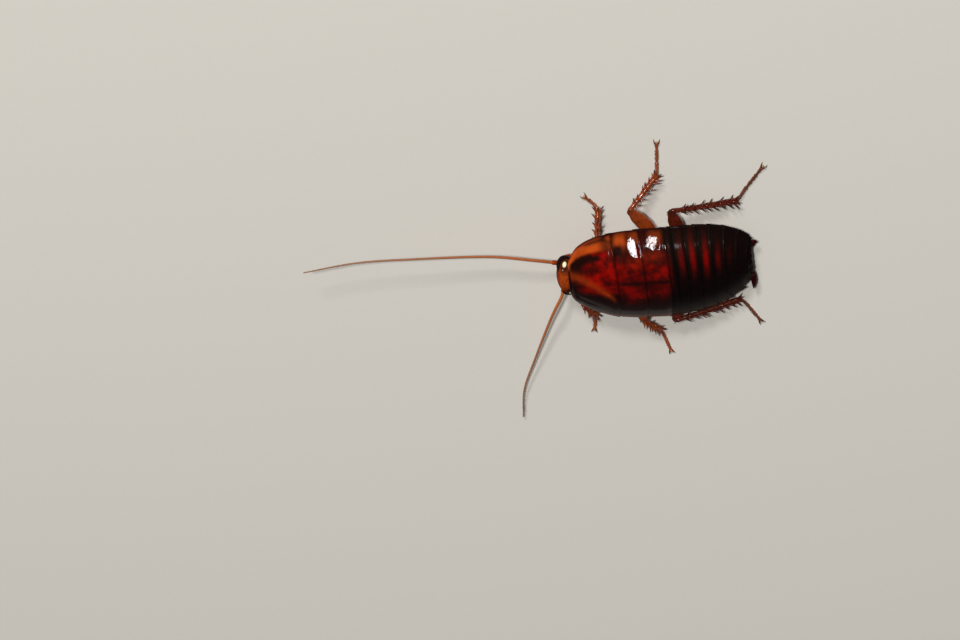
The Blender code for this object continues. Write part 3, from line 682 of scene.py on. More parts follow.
def middle_seam(x, y):
    """The short dark line along the middle of the second and third plates."""
    return 0.95 * hill(y, 0.2, 0.34) * smooth_step((x + 5.9) / 0.8)


# Painted sheen: a thin brownish band along the left rim, put into the amber mark.
def painted_left_rim_sheen(across):
    return 0.55 * hill(across, -0.92, 0.07)


# Painted shade: darkens the colour of the left side of a plate, the side away from the lights.
def painted_shade_on_left(y, start, reach):
    return 0.9 * smooth_step((start - y) / reach)


def kept_in_range(**marks):
    return {key: np.clip(value, 0.0, 1.0) for key, value in marks.items()}


def paint_shield(x, y, across, along):
    """A dark comma inside an amber crescent, a deep red middle, a slanting brown band of painted reflection
    and painted shade on the left side.
    """
    to_rear = smooth_step((x + 9.2) / 1.6)
    inward = smooth_step((x + 13.0) / 2.5)
    crescent = plateau(across, mix(0.86, 0.815, inward), mix(0.13, 0.08, inward)) * mix(0.9, 0.4, to_rear)
    outside = 0.3 * hill(across, 0.96, 0.07) * (1.0 - to_rear)
    crescent = np.maximum.reduce([crescent, outside, hill(x, -6.7, 0.7) * hill(across, 0.93, 0.05)])
    front_rim = hill(x, -14.2, 0.3) * hill(y, 3.4, 0.9)
    # Painted sheen along the left rim of the shield.
    left_rim_sheen = painted_left_rim_sheen(across)
    comma_middle = 4.65 - 0.085 * (x + 9.0) ** 2
    comma_half = 0.3 + 0.85 * hill(x, -12.0, 2.1)
    comma = np.exp(-np.abs((y - comma_middle) / comma_half) ** 3)
    comma = comma * smooth_step((x + 14.0) / 0.7) * smooth_step((-7.6 - x) / 1.6)
    brown_corner = 0.75 * hill(x, -7.3, 0.8) * hill(y, 6.1, 0.8)
    # Painted shade over the left side of the shield.
    painted_left_shade = painted_shade_on_left(y, -2.3 + 0.35 * (x + 11.0), 2.2)
    # Painted reflection: a slanting brownish band across the shield, put into the red and amber marks; it
    # also lightens the painted shade on the left.
    along_sheen_band = x + 13.7
    sheen_band_middle = 1.5 - 0.196 * along_sheen_band - 0.0634 * along_sheen_band ** 2
    band = hill(y, sheen_band_middle, 0.8) * smooth_step((x + 14.3) / 0.5) * smooth_step((-6.2 - x) / 0.8)
    dark = np.maximum.reduce([comma, brown_corner, painted_left_shade * (1.0 - 0.8 * band)])
    dark = np.maximum(dark * (1.0 - crescent - left_rim_sheen), seams(across, along, x, 0.03))
    red = smooth_step((x + 13.4) / 2.5) * smooth_step((y + 2.4) / 1.6) * (1.0 - smooth_step((y - 5.4) / 1.2))
    amber = np.maximum.reduce([crescent, front_rim, left_rim_sheen, 0.3 * band])
    return kept_in_range(amber=amber, dark=dark, red=red + 0.7 * band)


def paint_second(x, y, across, along):
    # The first term is the amber side patch; the second and third are painted glow, orange-red round and
    # below the highlight.
    amber = np.maximum.reduce([0.85 * plateau(x, -5.1, 1.1) * hill(across, 0.84, 0.11),
                               0.4 * hill(x, -2.6, 1.3) * plateau(across, 0.87, 0.1),
                               0.07 * hill(y, 4.0, 0.9) * smooth_step((x + 4.6) / 1.5)])
    # Painted sheen along the left rim of the plate.
    left_rim_sheen = painted_left_rim_sheen(across)
    blotch = plateau(x, -5.5, 0.75) * plateau(y, 5.85, 0.75) + 0.8 * hill(x, -6.2, 0.6) * hill(y, 5.2, 0.6)
    shadow = 0.5 * hill(x, -4.0, 0.8) * hill(y, 2.2, 0.5)
    # Painted shade over the left side of the plate.
    painted_left_shade = painted_shade_on_left(y, -3.6, 2.2) * (1.0 - left_rim_sheen)
    dark = np.maximum.reduce([blotch, shadow, painted_left_shade, middle_seam(x, y), seams(across, along, x, 0.05)])
    red = 0.85 * hill(y, 2.4, 3.6) + 0.36 * hill(y, -2.0, 1.6) * smooth_step((x + 5.2) / 0.8)
    return kept_in_range(amber=amber + left_rim_sheen, dark=dark, red=red)


def paint_third(x, y, across, along):
    # The second term is painted glow below the highlight.
    amber = np.maximum(0.3 * plateau(x, 0.9, 1.3) * plateau(across, 0.84, 0.12),
                       0.07 * hill(y, 4.8, 0.9) * smooth_step((2.4 - x) / 1.2))
    # Painted sheen along the left rim of the plate.
    left_rim_sheen = painted_left_rim_sheen(across)
    fleck = 0.9 * hill(x, -0.8, 0.35) * hill(y, 6.3, 0.5)
    rear_corner = 0.9 * smooth_step((x - 1.5) / 0.9) * smooth_step((y - 4.4) / 1.2)
    # Painted shade over the left side of the plate.
    painted_left_shade = painted_shade_on_left(y, -2.8, 2.4) * (1.0 - left_rim_sheen)
    dark = np.maximum.reduce([fleck, rear_corner, painted_left_shade, middle_seam(x, y),
                              seams(across, along, x, 0.06)])
    red = 0.8 * hill(y, 3.0, 3.4) + 0.32 * hill(y, -1.8, 1.4)
    return kept_in_range(amber=amber + left_rim_sheen, dark=dark, red=red)


class COCKROACH_OT_back(bpy.types.Operator):
    """Build the shield and the two plates behind it"""
    bl_idname = "cockroach.back"
    bl_label = "Shield and back plates"

    def execute(self, context):
        settings = context.scene.cockroach_shell
        material = finish(context, "red shell")
        make_plate(settings, material, "pronotum", SHIELD_FRONT, SHIELD_REAR, paint_shield, True)
        make_plate(settings, material, "mesonotum", SHIELD_REAR, SECOND_REAR, paint_second, False)
        make_plate(settings, material, "metanotum", SECOND_REAR, THIRD_REAR, paint_third, False)
        return {"FINISHED"}


# The belly

# The red band of each plate: strength, share along, middle and reach across
Stripe = namedtuple("Stripe", "strength place side reach")
STRIPES = (Stripe(0.25, 0.35, 2.4, 3.0), Stripe(0.5, 0.68, 4.0, 2.3), Stripe(0.8, 0.62, 4.0, 2.4),
           Stripe(1.0, 0.62, 3.4, 2.2), Stripe(0.45, 0.57, 3.0, 1.7), Stripe(0.08, 0.5, 3.0, 1.5),
           Stripe(0.0, 0.5, 3.0, 1.5))
STRIPE_HALF_WIDTH = 0.33
PLATE_LENGTHS = np.array([1.25, 1.75, 2.1, 2.1, 2.1, 1.95, 1.7])
CORNERS = (0.0, 0.0, 0.05, 0.15, 0.35, 0.55, 0.45)   # how far the plates' rear corners are drawn out
BELLY_TUCK = 0.6
OUTLINE_END = 17.2                   # the plates follow the back's outline up to here
CORE_END = 17.3


def belly_edges():
    """The edges of the belly's plates, from the third plate of the back to the tail."""
    reached = np.concatenate([[0.0], np.cumsum(PLATE_LENGTHS)])
    return THIRD_REAR + reached * (TAIL_PLATE_REAR - THIRD_REAR) / PLATE_LENGTHS.sum()


def belly_plate(shapes, front, rear, band, corner):
    """One plate over the belly, its rear corners drawn out into points near the tail."""
    along, across, x = plate_surface(front, rear, 30, 150, BELLY_TUCK)
    side = np.abs(across)
    wide = half_width(np.minimum(x, OUTLINE_END))
    y = middle_line(x) + across * wide
    before = front + edge_sweep(front) * across ** 2
    tucked = 0.1 * (1.0 - smooth_step((x - before + 0.4) / 0.6))
    from_edge = np.minimum((1.0 - side) * wide, (1.0 - along) * (rear - front))
    bead = 0.05 * hill(from_edge, 0.06, 0.12) - 0.03 * hill(from_edge, 0.35, 0.2)
    z = back_height(x, across) + PLATE_STEP * along ** 2 - tucked + bead
    x = x + corner * smooth_step((side - 0.85) / 0.15) * along ** 3
    top = np.stack([x, y, z], -1)
    under = top - 0.2 * UP * (0.25 + 0.75 * smooth_step(from_edge / 0.5))[..., None]
    under[..., 1] -= 0.12 * np.sign(across) * smooth_step((side - 0.8) / 0.2)
    from_middle = (along - band.place) * (rear - front)
    stripe = band.strength * np.exp(-np.abs(from_middle / STRIPE_HALF_WIDTH) ** 3)
    stripe = stripe * hill(y, band.side, band.reach)
    # The under mark here is painted sheen: a lighter brown band along the left rim.
    add_two_sided(shapes, top, under, stripe=stripe, under=0.45 * hill(across, -0.93, 0.06))


def add_two_sided(shapes, top, bottom, **marks):
    """A closed plate from its upper and its lower grid of points."""
    rows, columns = top.shape[:2]
    count = rows * columns
    faces = grid_faces(rows, columns)
    lower = [tuple(i + count for i in face[::-1]) for face in faces]
    border = (list(range(columns))
              + [r * columns + columns - 1 for r in range(1, rows)]
              + [(rows - 1) * columns + c for c in range(columns - 2, -1, -1)]
              + [r * columns for r in range(rows - 2, 0, -1)])
    wall = []
    for a, b in zip(border, border[1:] + border[:1]):
        wall.append((b, a, a + count, b + count))
    both = {key: np.concatenate([np.ravel(value), np.ravel(value)]) for key, value in marks.items()}
    shapes.add(np.vstack([top.reshape(-1, 3), bottom.reshape(-1, 3)]), faces + lower + wall, **both)


def belly_core(shapes):
    """The soft sides and the overlapping plates of the underside, as one closed body."""
    edges = belly_edges()
    sides = 64
    angles = round_angles(sides)
    c, s = np.cos(angles), np.sin(angles)
    rings = []
    for x in np.linspace(THIRD_REAR + 0.15, TAIL_PLATE_REAR + 0.55, 130):
        k = int(np.clip(np.searchsorted(edges, x, side="right") - 1, 0, len(edges) - 2))
        share = (x - edges[k]) / (edges[k + 1] - edges[k])
        close = 0.93 * np.clip((CORE_END - x) / 1.4, 0.35, 1.0) ** 0.5
        wide = half_width(x) * close
        top = back_height(x, 0.0) - 0.75
        rim = rim_height(x) - 0.28
        low = mix(2.6, 1.55, smooth_step((x - 7.0) / 4.0)) + 0.12
        step = 0.12 * share ** 3
        across = np.sign(c) * np.abs(c) ** 0.85
        up = rim + (top - rim) * np.maximum(0, s) * (1 - 0.15 * np.abs(across))
        down = rim - (rim - low + step) * np.maximum(0, -s) ** 0.75
        z = np.where(s >= 0, up, down)
        y = middle_line(x) + across * (wide + step * 0.6 * (s < 0))
        rings.append(np.stack([np.full(sides, x) + edge_sweep(x) * across ** 2 * close, y, z], -1))
    points, faces = loft(rings)
    seam = np.zeros(len(points))
    for edge in edges[1:]:
        seam = np.maximum(seam, hill(points[:, 0], edge + 0.05, 0.1))
    below = smooth_step((rim_height(points[:, 0]) - 0.45 - points[:, 2]) / 0.3)
    before_tail = smooth_step((15.6 - points[:, 0]) / 1.5)
    shapes.add(points, faces, under=np.clip(1.0 - 0.75 * seam, 0, 1) * below * before_tail)


def tail_plate(shapes):
    """The blunt last plate, with a shallow notch, between the two cerci."""
    along, across = share_grid(24, 60)
    reach = 1.0 - 0.55 * np.abs(across) ** 4 - 0.12 * hill(across, 0.0, 0.14)
    x = TAIL_PLATE_REAR - 0.6 + along * (1.35 * reach)
    y = middle_line(x) + across * 2.35 * (1.0 - 0.16 * along)
    z = back_height(x, across * 0.6) - 0.16 - 0.1 * across ** 2 - 0.15 * along
    top = np.stack([x, y, z], -1)
    add_two_sided(shapes, top, top - 0.22 * UP)


class COCKROACH_OT_belly(bpy.types.Operator):
    """Build the belly: seven plates above, the tail plate and the underside"""
    bl_idname = "cockroach.belly"
    bl_label = "Belly"

    def execute(self, context):
        edges = belly_edges()
        shapes = Shapes()
        for front, rear, band, corner in zip(edges, edges[1:], STRIPES, CORNERS):
            belly_plate(shapes, front, rear, band, corner)
        tail_plate(shapes)
        belly_core(shapes)
        shapes.build("belly_plates", finish(context, "black shell"), "abdomen", "dark_shell")
        return {"FINISHED"}


# The chest, under the plates

def chest_sheet():
    """Points and faces of the chest: under the plates above, dished to the legs below."""
    angles = round_angles(72)
    c, s = np.cos(angles), np.sin(angles)
    rings = []
    for x in np.linspace(-12.2, THIRD_REAR - 0.1, 60):
        spread = mix(0.55, 0.82, float(smooth_step((x + 12.3) / 7.0)))
        across = spread * c
        swept = x + edge_sweep(x) * across ** 2
        wide = half_width(swept)
        top = back_height(swept, across) - 0.55 - 0.55 * np.abs(across)
        edge = back_height(x, spread) - 1.6
        low = mix(2.62, edge, np.abs(c) ** 1.7)
        z = np.where(s >= 0, mix(edge, top, np.maximum(s, 0) ** 0.6), low)
        rings.append(np.stack([swept, across * wide, z], -1))
    return loft(rings)


class COCKROACH_OT_chest(bpy.types.Operator):
    """Build the chest under the plates of the back"""
    bl_idname = "cockroach.chest"
    bl_label = "Chest"

    def execute(self, context):
        points, faces = chest_sheet()
        seam = np.zeros(len(points))
        for x in (-9.3, SHIELD_REAR, -3.4, SECOND_REAR, 1.4):
            seam = np.maximum(seam, hill(points[:, 0], x, 0.14))
        seam = np.maximum(seam, hill(points[:, 1], 0.0, 0.12) * (points[:, 2] < 3.0))
        points[:, 2] += np.where(points[:, 2] < 3.4, 0.1 * seam, 0.0)
        shapes = Shapes()
        shapes.add(points, faces, joint=seam)
        shapes.build("chest_underside", finish(context, "light leg"), "thorax", "underside")
        return {"FINISHED"}


# The head

HEAD_PLACE = (Matrix.Translation(HEAD_CENTRE) @ Matrix.Rotation(HEAD_TURN, 4, "Z")
              @ Matrix.Rotation(-HEAD_TILT, 4, "Y"))
SPOT_DIRECTION = Vector((0.325, 0.82, 0.472)).normalized()
EYE_ROUND = 0.665                    # the eye bends round the pale spot at this angle from it
EYE_HALF_BAND = 0.305
EYE_TURN = math.radians(40.0)
EYE_HALF_TURN = math.radians(70.0)
EYE_DOME = 0.42


def from_head(points):
    """Points of the head's own frame, in the animal's."""
    place = np.array(HEAD_PLACE)
    return points @ place[:3, :3].T + place[:3, 3]


def head_surface(direction, height):
    """Points on or above the head for directions from its middle, in its own frame."""
    direction = unit(direction)
    narrowing = 1.0 - JAW_NARROWING * smooth_step((0.15 - direction[..., 2]) / 1.1)
    axes = np.stack([np.full_like(narrowing, HEAD_DEPTH), HEAD_SIDE * narrowing,
                     np.full_like(narrowing, HEAD_HEIGHT)], -1)
    normal = unit(direction / np.array([HEAD_DEPTH, HEAD_SIDE, HEAD_HEIGHT]))
    return direction * axes + normal * np.asarray(height)[..., None]


def mirrored(vector, side):
    return np.array([vector[0], vector[1] * side, vector[2]])


def under_shield(points):
    """Bends the head down where it passes under the shield's front edge."""
    aside = np.maximum(0.0, np.abs(points[..., 1]) - HALF_FRONT_EDGE)
    ahead = np.maximum(0.0, SHIELD_FRONT + 0.3 * aside ** 1.5 - points[..., 0])
    ceiling = ridge_height(SHIELD_FRONT) - 0.42 - 0.12 * points[..., 1] ** 2 + 2.4 * ahead
    z = points[..., 2]
    points[..., 2] = (z + ceiling - np.hypot(z - ceiling, 0.2)) / 2
    points[..., 0] = np.minimum(points[..., 0], -12.5)
    return points


def head_directions(rows, columns):
    """Directions all round, with the poles at the sides, where the eyes sit."""
    turn = np.linspace(0.0, np.pi, rows)[:, None]
    spin = round_angles(columns)[None, :]
    return np.stack([np.sin(turn) * np.cos(spin), np.cos(turn) * np.ones_like(spin),
                     np.sin(turn) * np.sin(spin)], -1)


def head_relief(d):
    """Height of the head's seams, plates and sockets, and the marks of its colours."""
    x, y, z = d[..., 0], d[..., 1], d[..., 2]
    height = np.zeros_like(x)
    front = smooth_step((0.15 - x) / 0.3)
    stem = hill(y, 0.0, 0.02) * smooth_step((z - 0.45) / 0.1) * (x > -0.75)
    arms = hill(np.abs(y) - 0.42 * (0.62 - z), 0.0, 0.022) * front * smooth_step((0.6 - z) / 0.06)
    arms = arms * smooth_step((z - 0.12) / 0.08)
    height -= 0.05 * np.maximum(stem, arms)
    lip_plate = front * smooth_step((0.47 - np.abs(y)) / 0.06) * smooth_step((-0.34 - z) / 0.05)
    height += 0.14 * lip_plate
    lip_seams = 0.08 * hill(z, -0.36, 0.02) + 0.07 * hill(z, -0.66, 0.02)
    height -= front * lip_seams * smooth_step((0.5 - np.abs(y)) / 0.05)
    height -= 0.05 * front * hill(np.abs(y) - 0.55 - 0.2 * z, 0.0, 0.03) * smooth_step((-0.1 - z) / 0.1)
    pale, dark = np.zeros_like(x), np.maximum(0.3 * stem, 0.5 * arms)
    for _, side in SIDES:
        socket = np.linalg.norm(d - mirrored(SOCKET_DIRECTION.normalized(), side), axis=-1)
        height += 0.1 * hill(socket, 0.2, 0.05) - 0.16 * smooth_step((0.17 - socket) / 0.06)
        dark = np.maximum(dark, 0.8 * smooth_step((0.19 - socket) / 0.04))
        spot = np.linalg.norm(d - mirrored(SPOT_DIRECTION, side), axis=-1)
        height += 0.07 * smooth_step((0.21 - spot) / 0.1)
        pale = np.maximum(pale, smooth_step((0.2 - spot) / 0.06))
        dark = np.maximum(dark, 0.85 * hill(spot, 0.3, 0.24))
        share = eye_share(d, side)
        height -= 0.07 * hill(share, 1.12, 0.12)
        dark = np.maximum(dark, 0.9 * hill(share, 0.95, 0.35))
    shade = np.maximum(smooth_step((0.0 - x) / 0.5) * smooth_step((z + 0.2) / 0.6), 0.8 * lip_plate)
    # Painted shade: the left side of the head, away from the lights, is made darker and redder.
    shade = np.maximum(shade, 0.7 * smooth_step((-y - 0.15) / 0.4))
    return height, {"pale": pale, "dark": dark, "shade": np.clip(0.85 * shade, 0, 1)}


def spot_axes(side):
    """The direction of a pale spot, and two directions across it: forward, and down the side."""
    centre = mirrored(SPOT_DIRECTION, side)
    forward = unit(np.array([-1.0, 0.0, 0.0]) + centre * centre[0])
    down = np.cross(forward, centre) * side
    return centre, forward, down


def eye_share(d, side):
    """0 along the middle of an eye, 1 at its rim; the eye bends round the pale spot."""
    centre, forward, down = spot_axes(side)
    angle = np.arccos(np.clip(d @ centre, -1.0, 1.0))
    turn = np.arctan2(d @ down, d @ forward)
    return np.hypot((angle - EYE_ROUND) / EYE_HALF_BAND, (turn - EYE_TURN) / EYE_HALF_TURN)


def head_shapes():
    """The head and the soft neck behind it."""
    shapes = Shapes()
    rows, columns = 150, 190
    directions = head_directions(rows, columns)
    height, marks = head_relief(directions)
    points = under_shield(from_head(head_surface(directions, height)))
    shapes.add(points, grid_faces(rows, columns, closed=True)[::-1], **marks)
    neck = ((-13.6, 0.1, 3.4), (-12.9, 0.05, 3.5), (-12.2, 0.0, 3.6), (-11.6, 0.0, 3.7))
    shapes.add(*loft(sections(neck, [3.0, 3.4, 3.8, 4.0], [1.6, 1.7, 1.9, 2.0], 40)), shade=1.0)
    return shapes


class COCKROACH_OT_head(bpy.types.Operator):
    """Build the head with its seams, feeler sockets, lip plate and pale windows"""
    bl_idname = "cockroach.head"
    bl_label = "Head"

    def execute(self, context):
        head_shapes().build("head_capsule", finish(context, "head skin"), "head", "head")
        return {"FINISHED"}


class COCKROACH_OT_eyes(bpy.types.Operator):
    """Build the two kidney-shaped compound eyes"""
    bl_idname = "cockroach.eyes"
    bl_label = "Eyes"

    def execute(self, context):
        glass = finish(context, "compound eye")
        radius = np.sin(np.linspace(0.0, np.pi / 2, 40))[:, None]
        spin = round_angles(96)[None, :]
        for label, side in SIDES:
            centre, forward, down = spot_axes(side)
            angle = EYE_ROUND + EYE_HALF_BAND * radius * np.sin(spin)
            turn = EYE_TURN + EYE_HALF_TURN * radius * np.cos(spin)
            aside = forward * np.cos(turn)[..., None] + down * np.sin(turn)[..., None]
            direction = centre * np.cos(angle)[..., None] + aside * np.sin(angle)[..., None]
            dome = EYE_DOME * np.sqrt(np.maximum(0.0, 1.0 - radius ** 2.4)) * np.ones_like(spin)
            top = from_head(head_surface(direction, dome - 0.02))
            base = from_head(head_surface(direction, np.full_like(dome, -0.25)))
            shapes = Shapes()
            shapes.add(*loft(np.concatenate([top[1:], base[::-1][:-1]])))
            shapes.build(f"compound_eye_{label}", glass, f"eye_{label}", "eye")
        return {"FINISHED"}


# The mouth and its palps

JAW_PALP = ((-12.9, 1.8, 1.0), (-13.7, 2.3, 0.75), (-14.7, 2.3, 0.65), (-15.7, 2.0, 0.75),
            (-16.3, 1.5, 1.05))
LIP_PALP = ((-11.6, 0.9, 1.0), (-11.7, 1.6, 0.65), (-12.3, 1.9, 0.5))
PALPS = (("jaw_palp", JAW_PALP, (0.2, 0.24, 0.27, 0.24)), ("lip_palp", LIP_PALP, (0.2, 0.22)))


def jointed(shapes, path, radii):
    """Segments end to end along a path, each narrow at its root and swollen at its end."""
    sides = 20
    share = np.linspace(0.0, 1.0, 14)
    swell = profile((0.0, 0.1, 0.75, 0.93, 1.0), (0.45, 0.66, 1.0, 0.92, 0.4), share)
    joint = np.maximum(hill(share, 0.0, 0.09), 0.5 * hill(share, 1.0, 0.06))
    for k, (start, end, radius) in enumerate(zip(path, path[1:], radii)):
        start = start - (end - start) * (0.06 if k else 0.12)
        points = start + (end - start) * share[:, None]
        rings = sections(points, 2 * radius * swell, 2 * radius * swell, sides)
        shapes.add(*loft(rings), joint=per_ring(joint, sides, (1.0, 0.5)))


def hairs_on(shapes, path, radius, count, size, rng, lean=0.8, **marks):
    """Fine stiff hairs all round a limb."""
    for _ in range(count):
        t = rng.uniform(0.05, 0.98) * (len(path) - 1)
        k = min(int(t), len(path) - 2)
        ahead = unit(path[k + 1] - path[k])
        outward = turned(*sideways(ahead), rng.uniform(0.0, 2 * math.pi))
        root = mix(path[k], path[k + 1], t - k) + outward * radius * 0.85
        add_spine(shapes, root, outward + ahead * lean, size * rng.uniform(0.7, 1.2), HAIR_WIDTH,
                  sides=3, clearance=HAIR_CLEARANCE, dark=0.45, **marks)


def mouth_lobe(shapes, places, stations, widths, heights, rows, sides, **marks):
    """A flat, tapering lobe through places of the head's own frame."""
    path = from_head(curve_through(places, rows))
    share = np.linspace(0.0, 1.0, rows)
    rings = sections(path, profile(stations, widths, share), profile(stations, heights, share), sides,
                     up=(1.0, 0.0, 0.4))
    shapes.add(*loft(rings), **marks)


class COCKROACH_OT_mouth(bpy.types.Operator):
    """Build the upper lip, the jaws and the four palps"""
    bl_idname = "cockroach.mouth"
    bl_label = "Mouth and palps"

    def execute(self, context):
        shapes = Shapes()
        lip = ((-0.95, 0.0, -1.9), (-0.8, 0.0, -2.5), (-0.5, 0.0, -2.95))
        mouth_lobe(shapes, lip, (0.0, 0.5, 0.85, 1.0), (1.9, 2.1, 1.6, 0.7), (0.42,) * 4, 24, 32, shade=0.9)
        for _, side in SIDES:
            jaw = ((-0.35, 1.15 * side, -1.7), (-0.4, 1.0 * side, -2.4), (-0.35, 0.25 * side, -2.9))
            mouth_lobe(shapes, jaw, (0.0, 0.5, 1.0), (1.0, 0.85, 0.25), (0.8, 0.68, 0.2), 20, 20, dark=0.55)
            cheek = ((0.35, 0.9 * side, -1.9), (0.4, 0.75 * side, -2.5), (0.35, 0.3 * side, -2.85))
            mouth_lobe(shapes, cheek, (0.0, 0.6, 1.0), (1.1, 0.8, 0.3), (0.77, 0.56, 0.21), 20, 20, shade=0.4)
        shapes.build("mouth_lip_and_jaws", finish(context, "head skin"), "mouthparts", "head")
        for label, side in SIDES:
            rng = random.Random(f"palps {label}")
            for name, route, radii in PALPS:
                path = np.array([(x, HEAD_CENTRE.y + y * side, z) for x, y, z in route])
                shapes = Shapes()
                jointed(shapes, path, radii)
                hairs_on(shapes, path, radii[-1], 60, 0.22, rng)
                shapes.build(f"{name}_{label}_segments", finish(context, "light leg"),
                             f"{name}_{label}", "leg")
        return {"FINISHED"}


# The feelers

FEELER_ROUTES = {
    "right": ((-20.4, 4.0, 4.4), (-28.1, 5.5, 4.7), (-40.4, 6.4, 5.4), (-50.5, 6.6, 5.7),
              (-59.9, 5.4, 5.7)),
    "left": ((-16.5, -4.4, 3.4), (-17.8, -6.6, 3.6), (-19.4, -9.9, 3.0), (-22.8, -17.5, 2.0),
             (-25.6, -24.2, 1.3), (-26.6, -30.4, 0.8)),
}
SCAPE_RADIUS = 0.42
SCAPE_LENGTH = 1.45
FEELER_RADIUS = 0.29

# One ring of a feeler: places along it, its swelling there and how dark it is
RING_STATIONS = np.array([0.02, 0.12, 0.5, 0.84, 0.97])
RING_SWELL = np.array([0.84, 0.96, 1.02, 1.06, 0.88])
RING_DARK = np.array([0.9, 0.2, 0.0, 0.0, 0.7])


def feeler_root(side):
    return from_head(head_surface(mirrored(SOCKET_DIRECTION, side)[None, :], np.array([-0.1])))[0]


def feeler_rings(settings, start, route, rng):
    """The long ringed part: the rings grow from short at the root to long at the tip."""
    sides = 14
    path = curve_through([start, *route], 900)
    lengths = lengths_along(path)
    growth = np.concatenate([[1.5], 0.55 + 0.9 * np.linspace(0.0, 1.0, settings.rings - 1) ** 0.8])
    ends = np.concatenate([[0.0], np.cumsum(growth)]) * lengths[-1] / growth.sum()
    where = (ends[:-1, None] + np.diff(ends)[:, None] * RING_STATIONS).ravel()
    along = where / lengths[-1]
    radius = mix(FEELER_RADIUS, settings.tip / MM, along ** 0.9) * np.tile(RING_SWELL, settings.rings)
    points = points_at(path, lengths, where)
    shapes = Shapes()
    shapes.add(*loft(sections(points, 2 * radius, 2 * radius, sides)),
               along=per_ring(along, sides, (0.0, 1.0)),
               joint=per_ring(np.tile(RING_DARK, settings.rings), sides, (0.9, 0.9)))
    hairs_on(shapes, points[::len(RING_STATIONS)], 0.17, 420, 0.16, rng, 1.2, along=0.5)
    return shapes


class COCKROACH_OT_feelers(bpy.types.Operator):
    """Build the two feelers, each of a stout first segment and many short rings"""
    bl_idname = "cockroach.feelers"
    bl_label = "Feelers"

    def execute(self, context):
        share = np.linspace(0.0, 1.0, 30)
        swell = profile((0.0, 0.12, 0.3, 0.8, 0.95, 1.0), (0.5, 0.62, 0.95, 1.0, 0.85, 0.4), share)
        for label, side in SIDES:
            rng = random.Random(f"feeler {label}")
            route = FEELER_ROUTES[label]
            root = feeler_root(side)
            aim = unit(np.array(route[0]) - root)
            path = root + aim * SCAPE_LENGTH * share[:, None]
            shapes = Shapes()
            rings = sections(path, 2 * SCAPE_RADIUS * swell, 1.9 * SCAPE_RADIUS * swell, 28)
            shapes.add(*loft(rings), shade=0.25)
            hairs_on(shapes, path, SCAPE_RADIUS, 30, 0.2, rng)
            shapes.build(f"feeler_{label}_first_segment", finish(context, "head skin"),
                         f"scape_{label}", "head")
            start = root + aim * (SCAPE_LENGTH - 0.1)
            shapes = feeler_rings(context.scene.cockroach_feelers, start, route, rng)
            shapes.build(f"feeler_{label}_rings", finish(context, "feeler rings"),
                         f"antenna_{label}", "feeler")
        return {"FINISHED"}


# The cerci at the tail

CERCUS_ROUTES = {
    "left": ((15.9, -1.6, 1.7), (16.5, -3.9, 2.0), (16.4, -5.8, 2.2)),
    "right": ((16.0, 2.3, 1.8), (17.1, 3.3, 2.0), (17.7, 3.2, 2.2)),
}
CERCUS_RINGS = 11
RING_STEPS = 6


class COCKROACH_OT_cerci(bpy.types.Operator):
    """Build the two short, flat, ringed feelers at the tail"""
    bl_idname = "cockroach.cerci"
    bl_label = "Cerci"

    def execute(self, context):
        share = np.linspace(0.0, 1.0, CERCUS_RINGS * RING_STEPS)
        notch = 1.0 - 0.14 * hill((share * CERCUS_RINGS) % 1.0, 0.0, 0.16)
        widths = (1.15 * np.sin(np.pi * (0.2 + 0.78 * share)) + 0.06) * notch
        for label, route in CERCUS_ROUTES.items():
            rng = random.Random(f"cercus {label}")
            path = curve_through(route, len(share))
            shapes = Shapes()
            shapes.add(*loft(sections(path, widths, 0.62 * widths, 22)), stripe=0.12)
            hairs_on(shapes, path[::RING_STEPS], 0.35, 70, 0.4, rng, 0.5)
            shapes.build(f"cercus_{label}_rings", finish(context, "black shell"),
                         f"cercus_{label}", "dark_shell")
        return {"FINISHED"}


# The legs

Leg = namedtuple("Leg", "hip trochanter knee ankle toe femur_width tibia_width spines")

LEGS = {
    "right": {
        "front": Leg((-12.0, 1.4, 1.95), (-11.3, 2.9, 1.5), (-9.3, 6.3, 3.1), (-8.6, 11.0, 0.75),
                     (-10.6, 13.2, 0.22), 1.9, 0.95, 4),
        "middle": Leg((-3.2, 2.2, 1.95), (1.2, 5.1, 1.5), (-3.0, 12.1, 3.9), (1.9, 16.7, 0.75),
                      (2.4, 22.4, 0.22), 2.6, 1.1, 6),
        "hind": Leg((1.0, 1.6, 1.95), (5.4, 3.2, 1.25), (3.8, 11.1, 3.35), (14.9, 10.8, 0.75),
                    (19.5, 16.5, 0.22), 2.6, 1.15, 9),
    },
    "left": {
        "front": Leg((-12.0, -1.4, 1.95), (-11.5, -2.9, 1.5), (-12.9, -6.6, 3.1), (-11.2, -9.9, 0.75),
                     (-11.9, -13.2, 0.22), 1.9, 0.95, 4),
        "middle": Leg((-3.2, -2.2, 1.95), (0.8, -4.7, 1.5), (-3.2, -9.9, 3.3), (-0.4, -13.6, 0.75),
                      (1.0, -18.6, 0.22), 2.6, 1.1, 6),
        "hind": Leg((1.0, -1.6, 1.95), (5.2, -3.2, 1.3), (2.6, -10.5, 3.4), (14.0, -8.6, 0.75),
                    (17.0, -13.6, 0.22), 2.6, 1.15, 9),
    },
}
TOP_SPINE_ROWS = (35.0, 90.0, 145.0)
UNDER_SPINE_ROWS = (-50.0, -130.0)
FOOT_SHARES = (0.4, 0.16, 0.12, 0.08, 0.24)


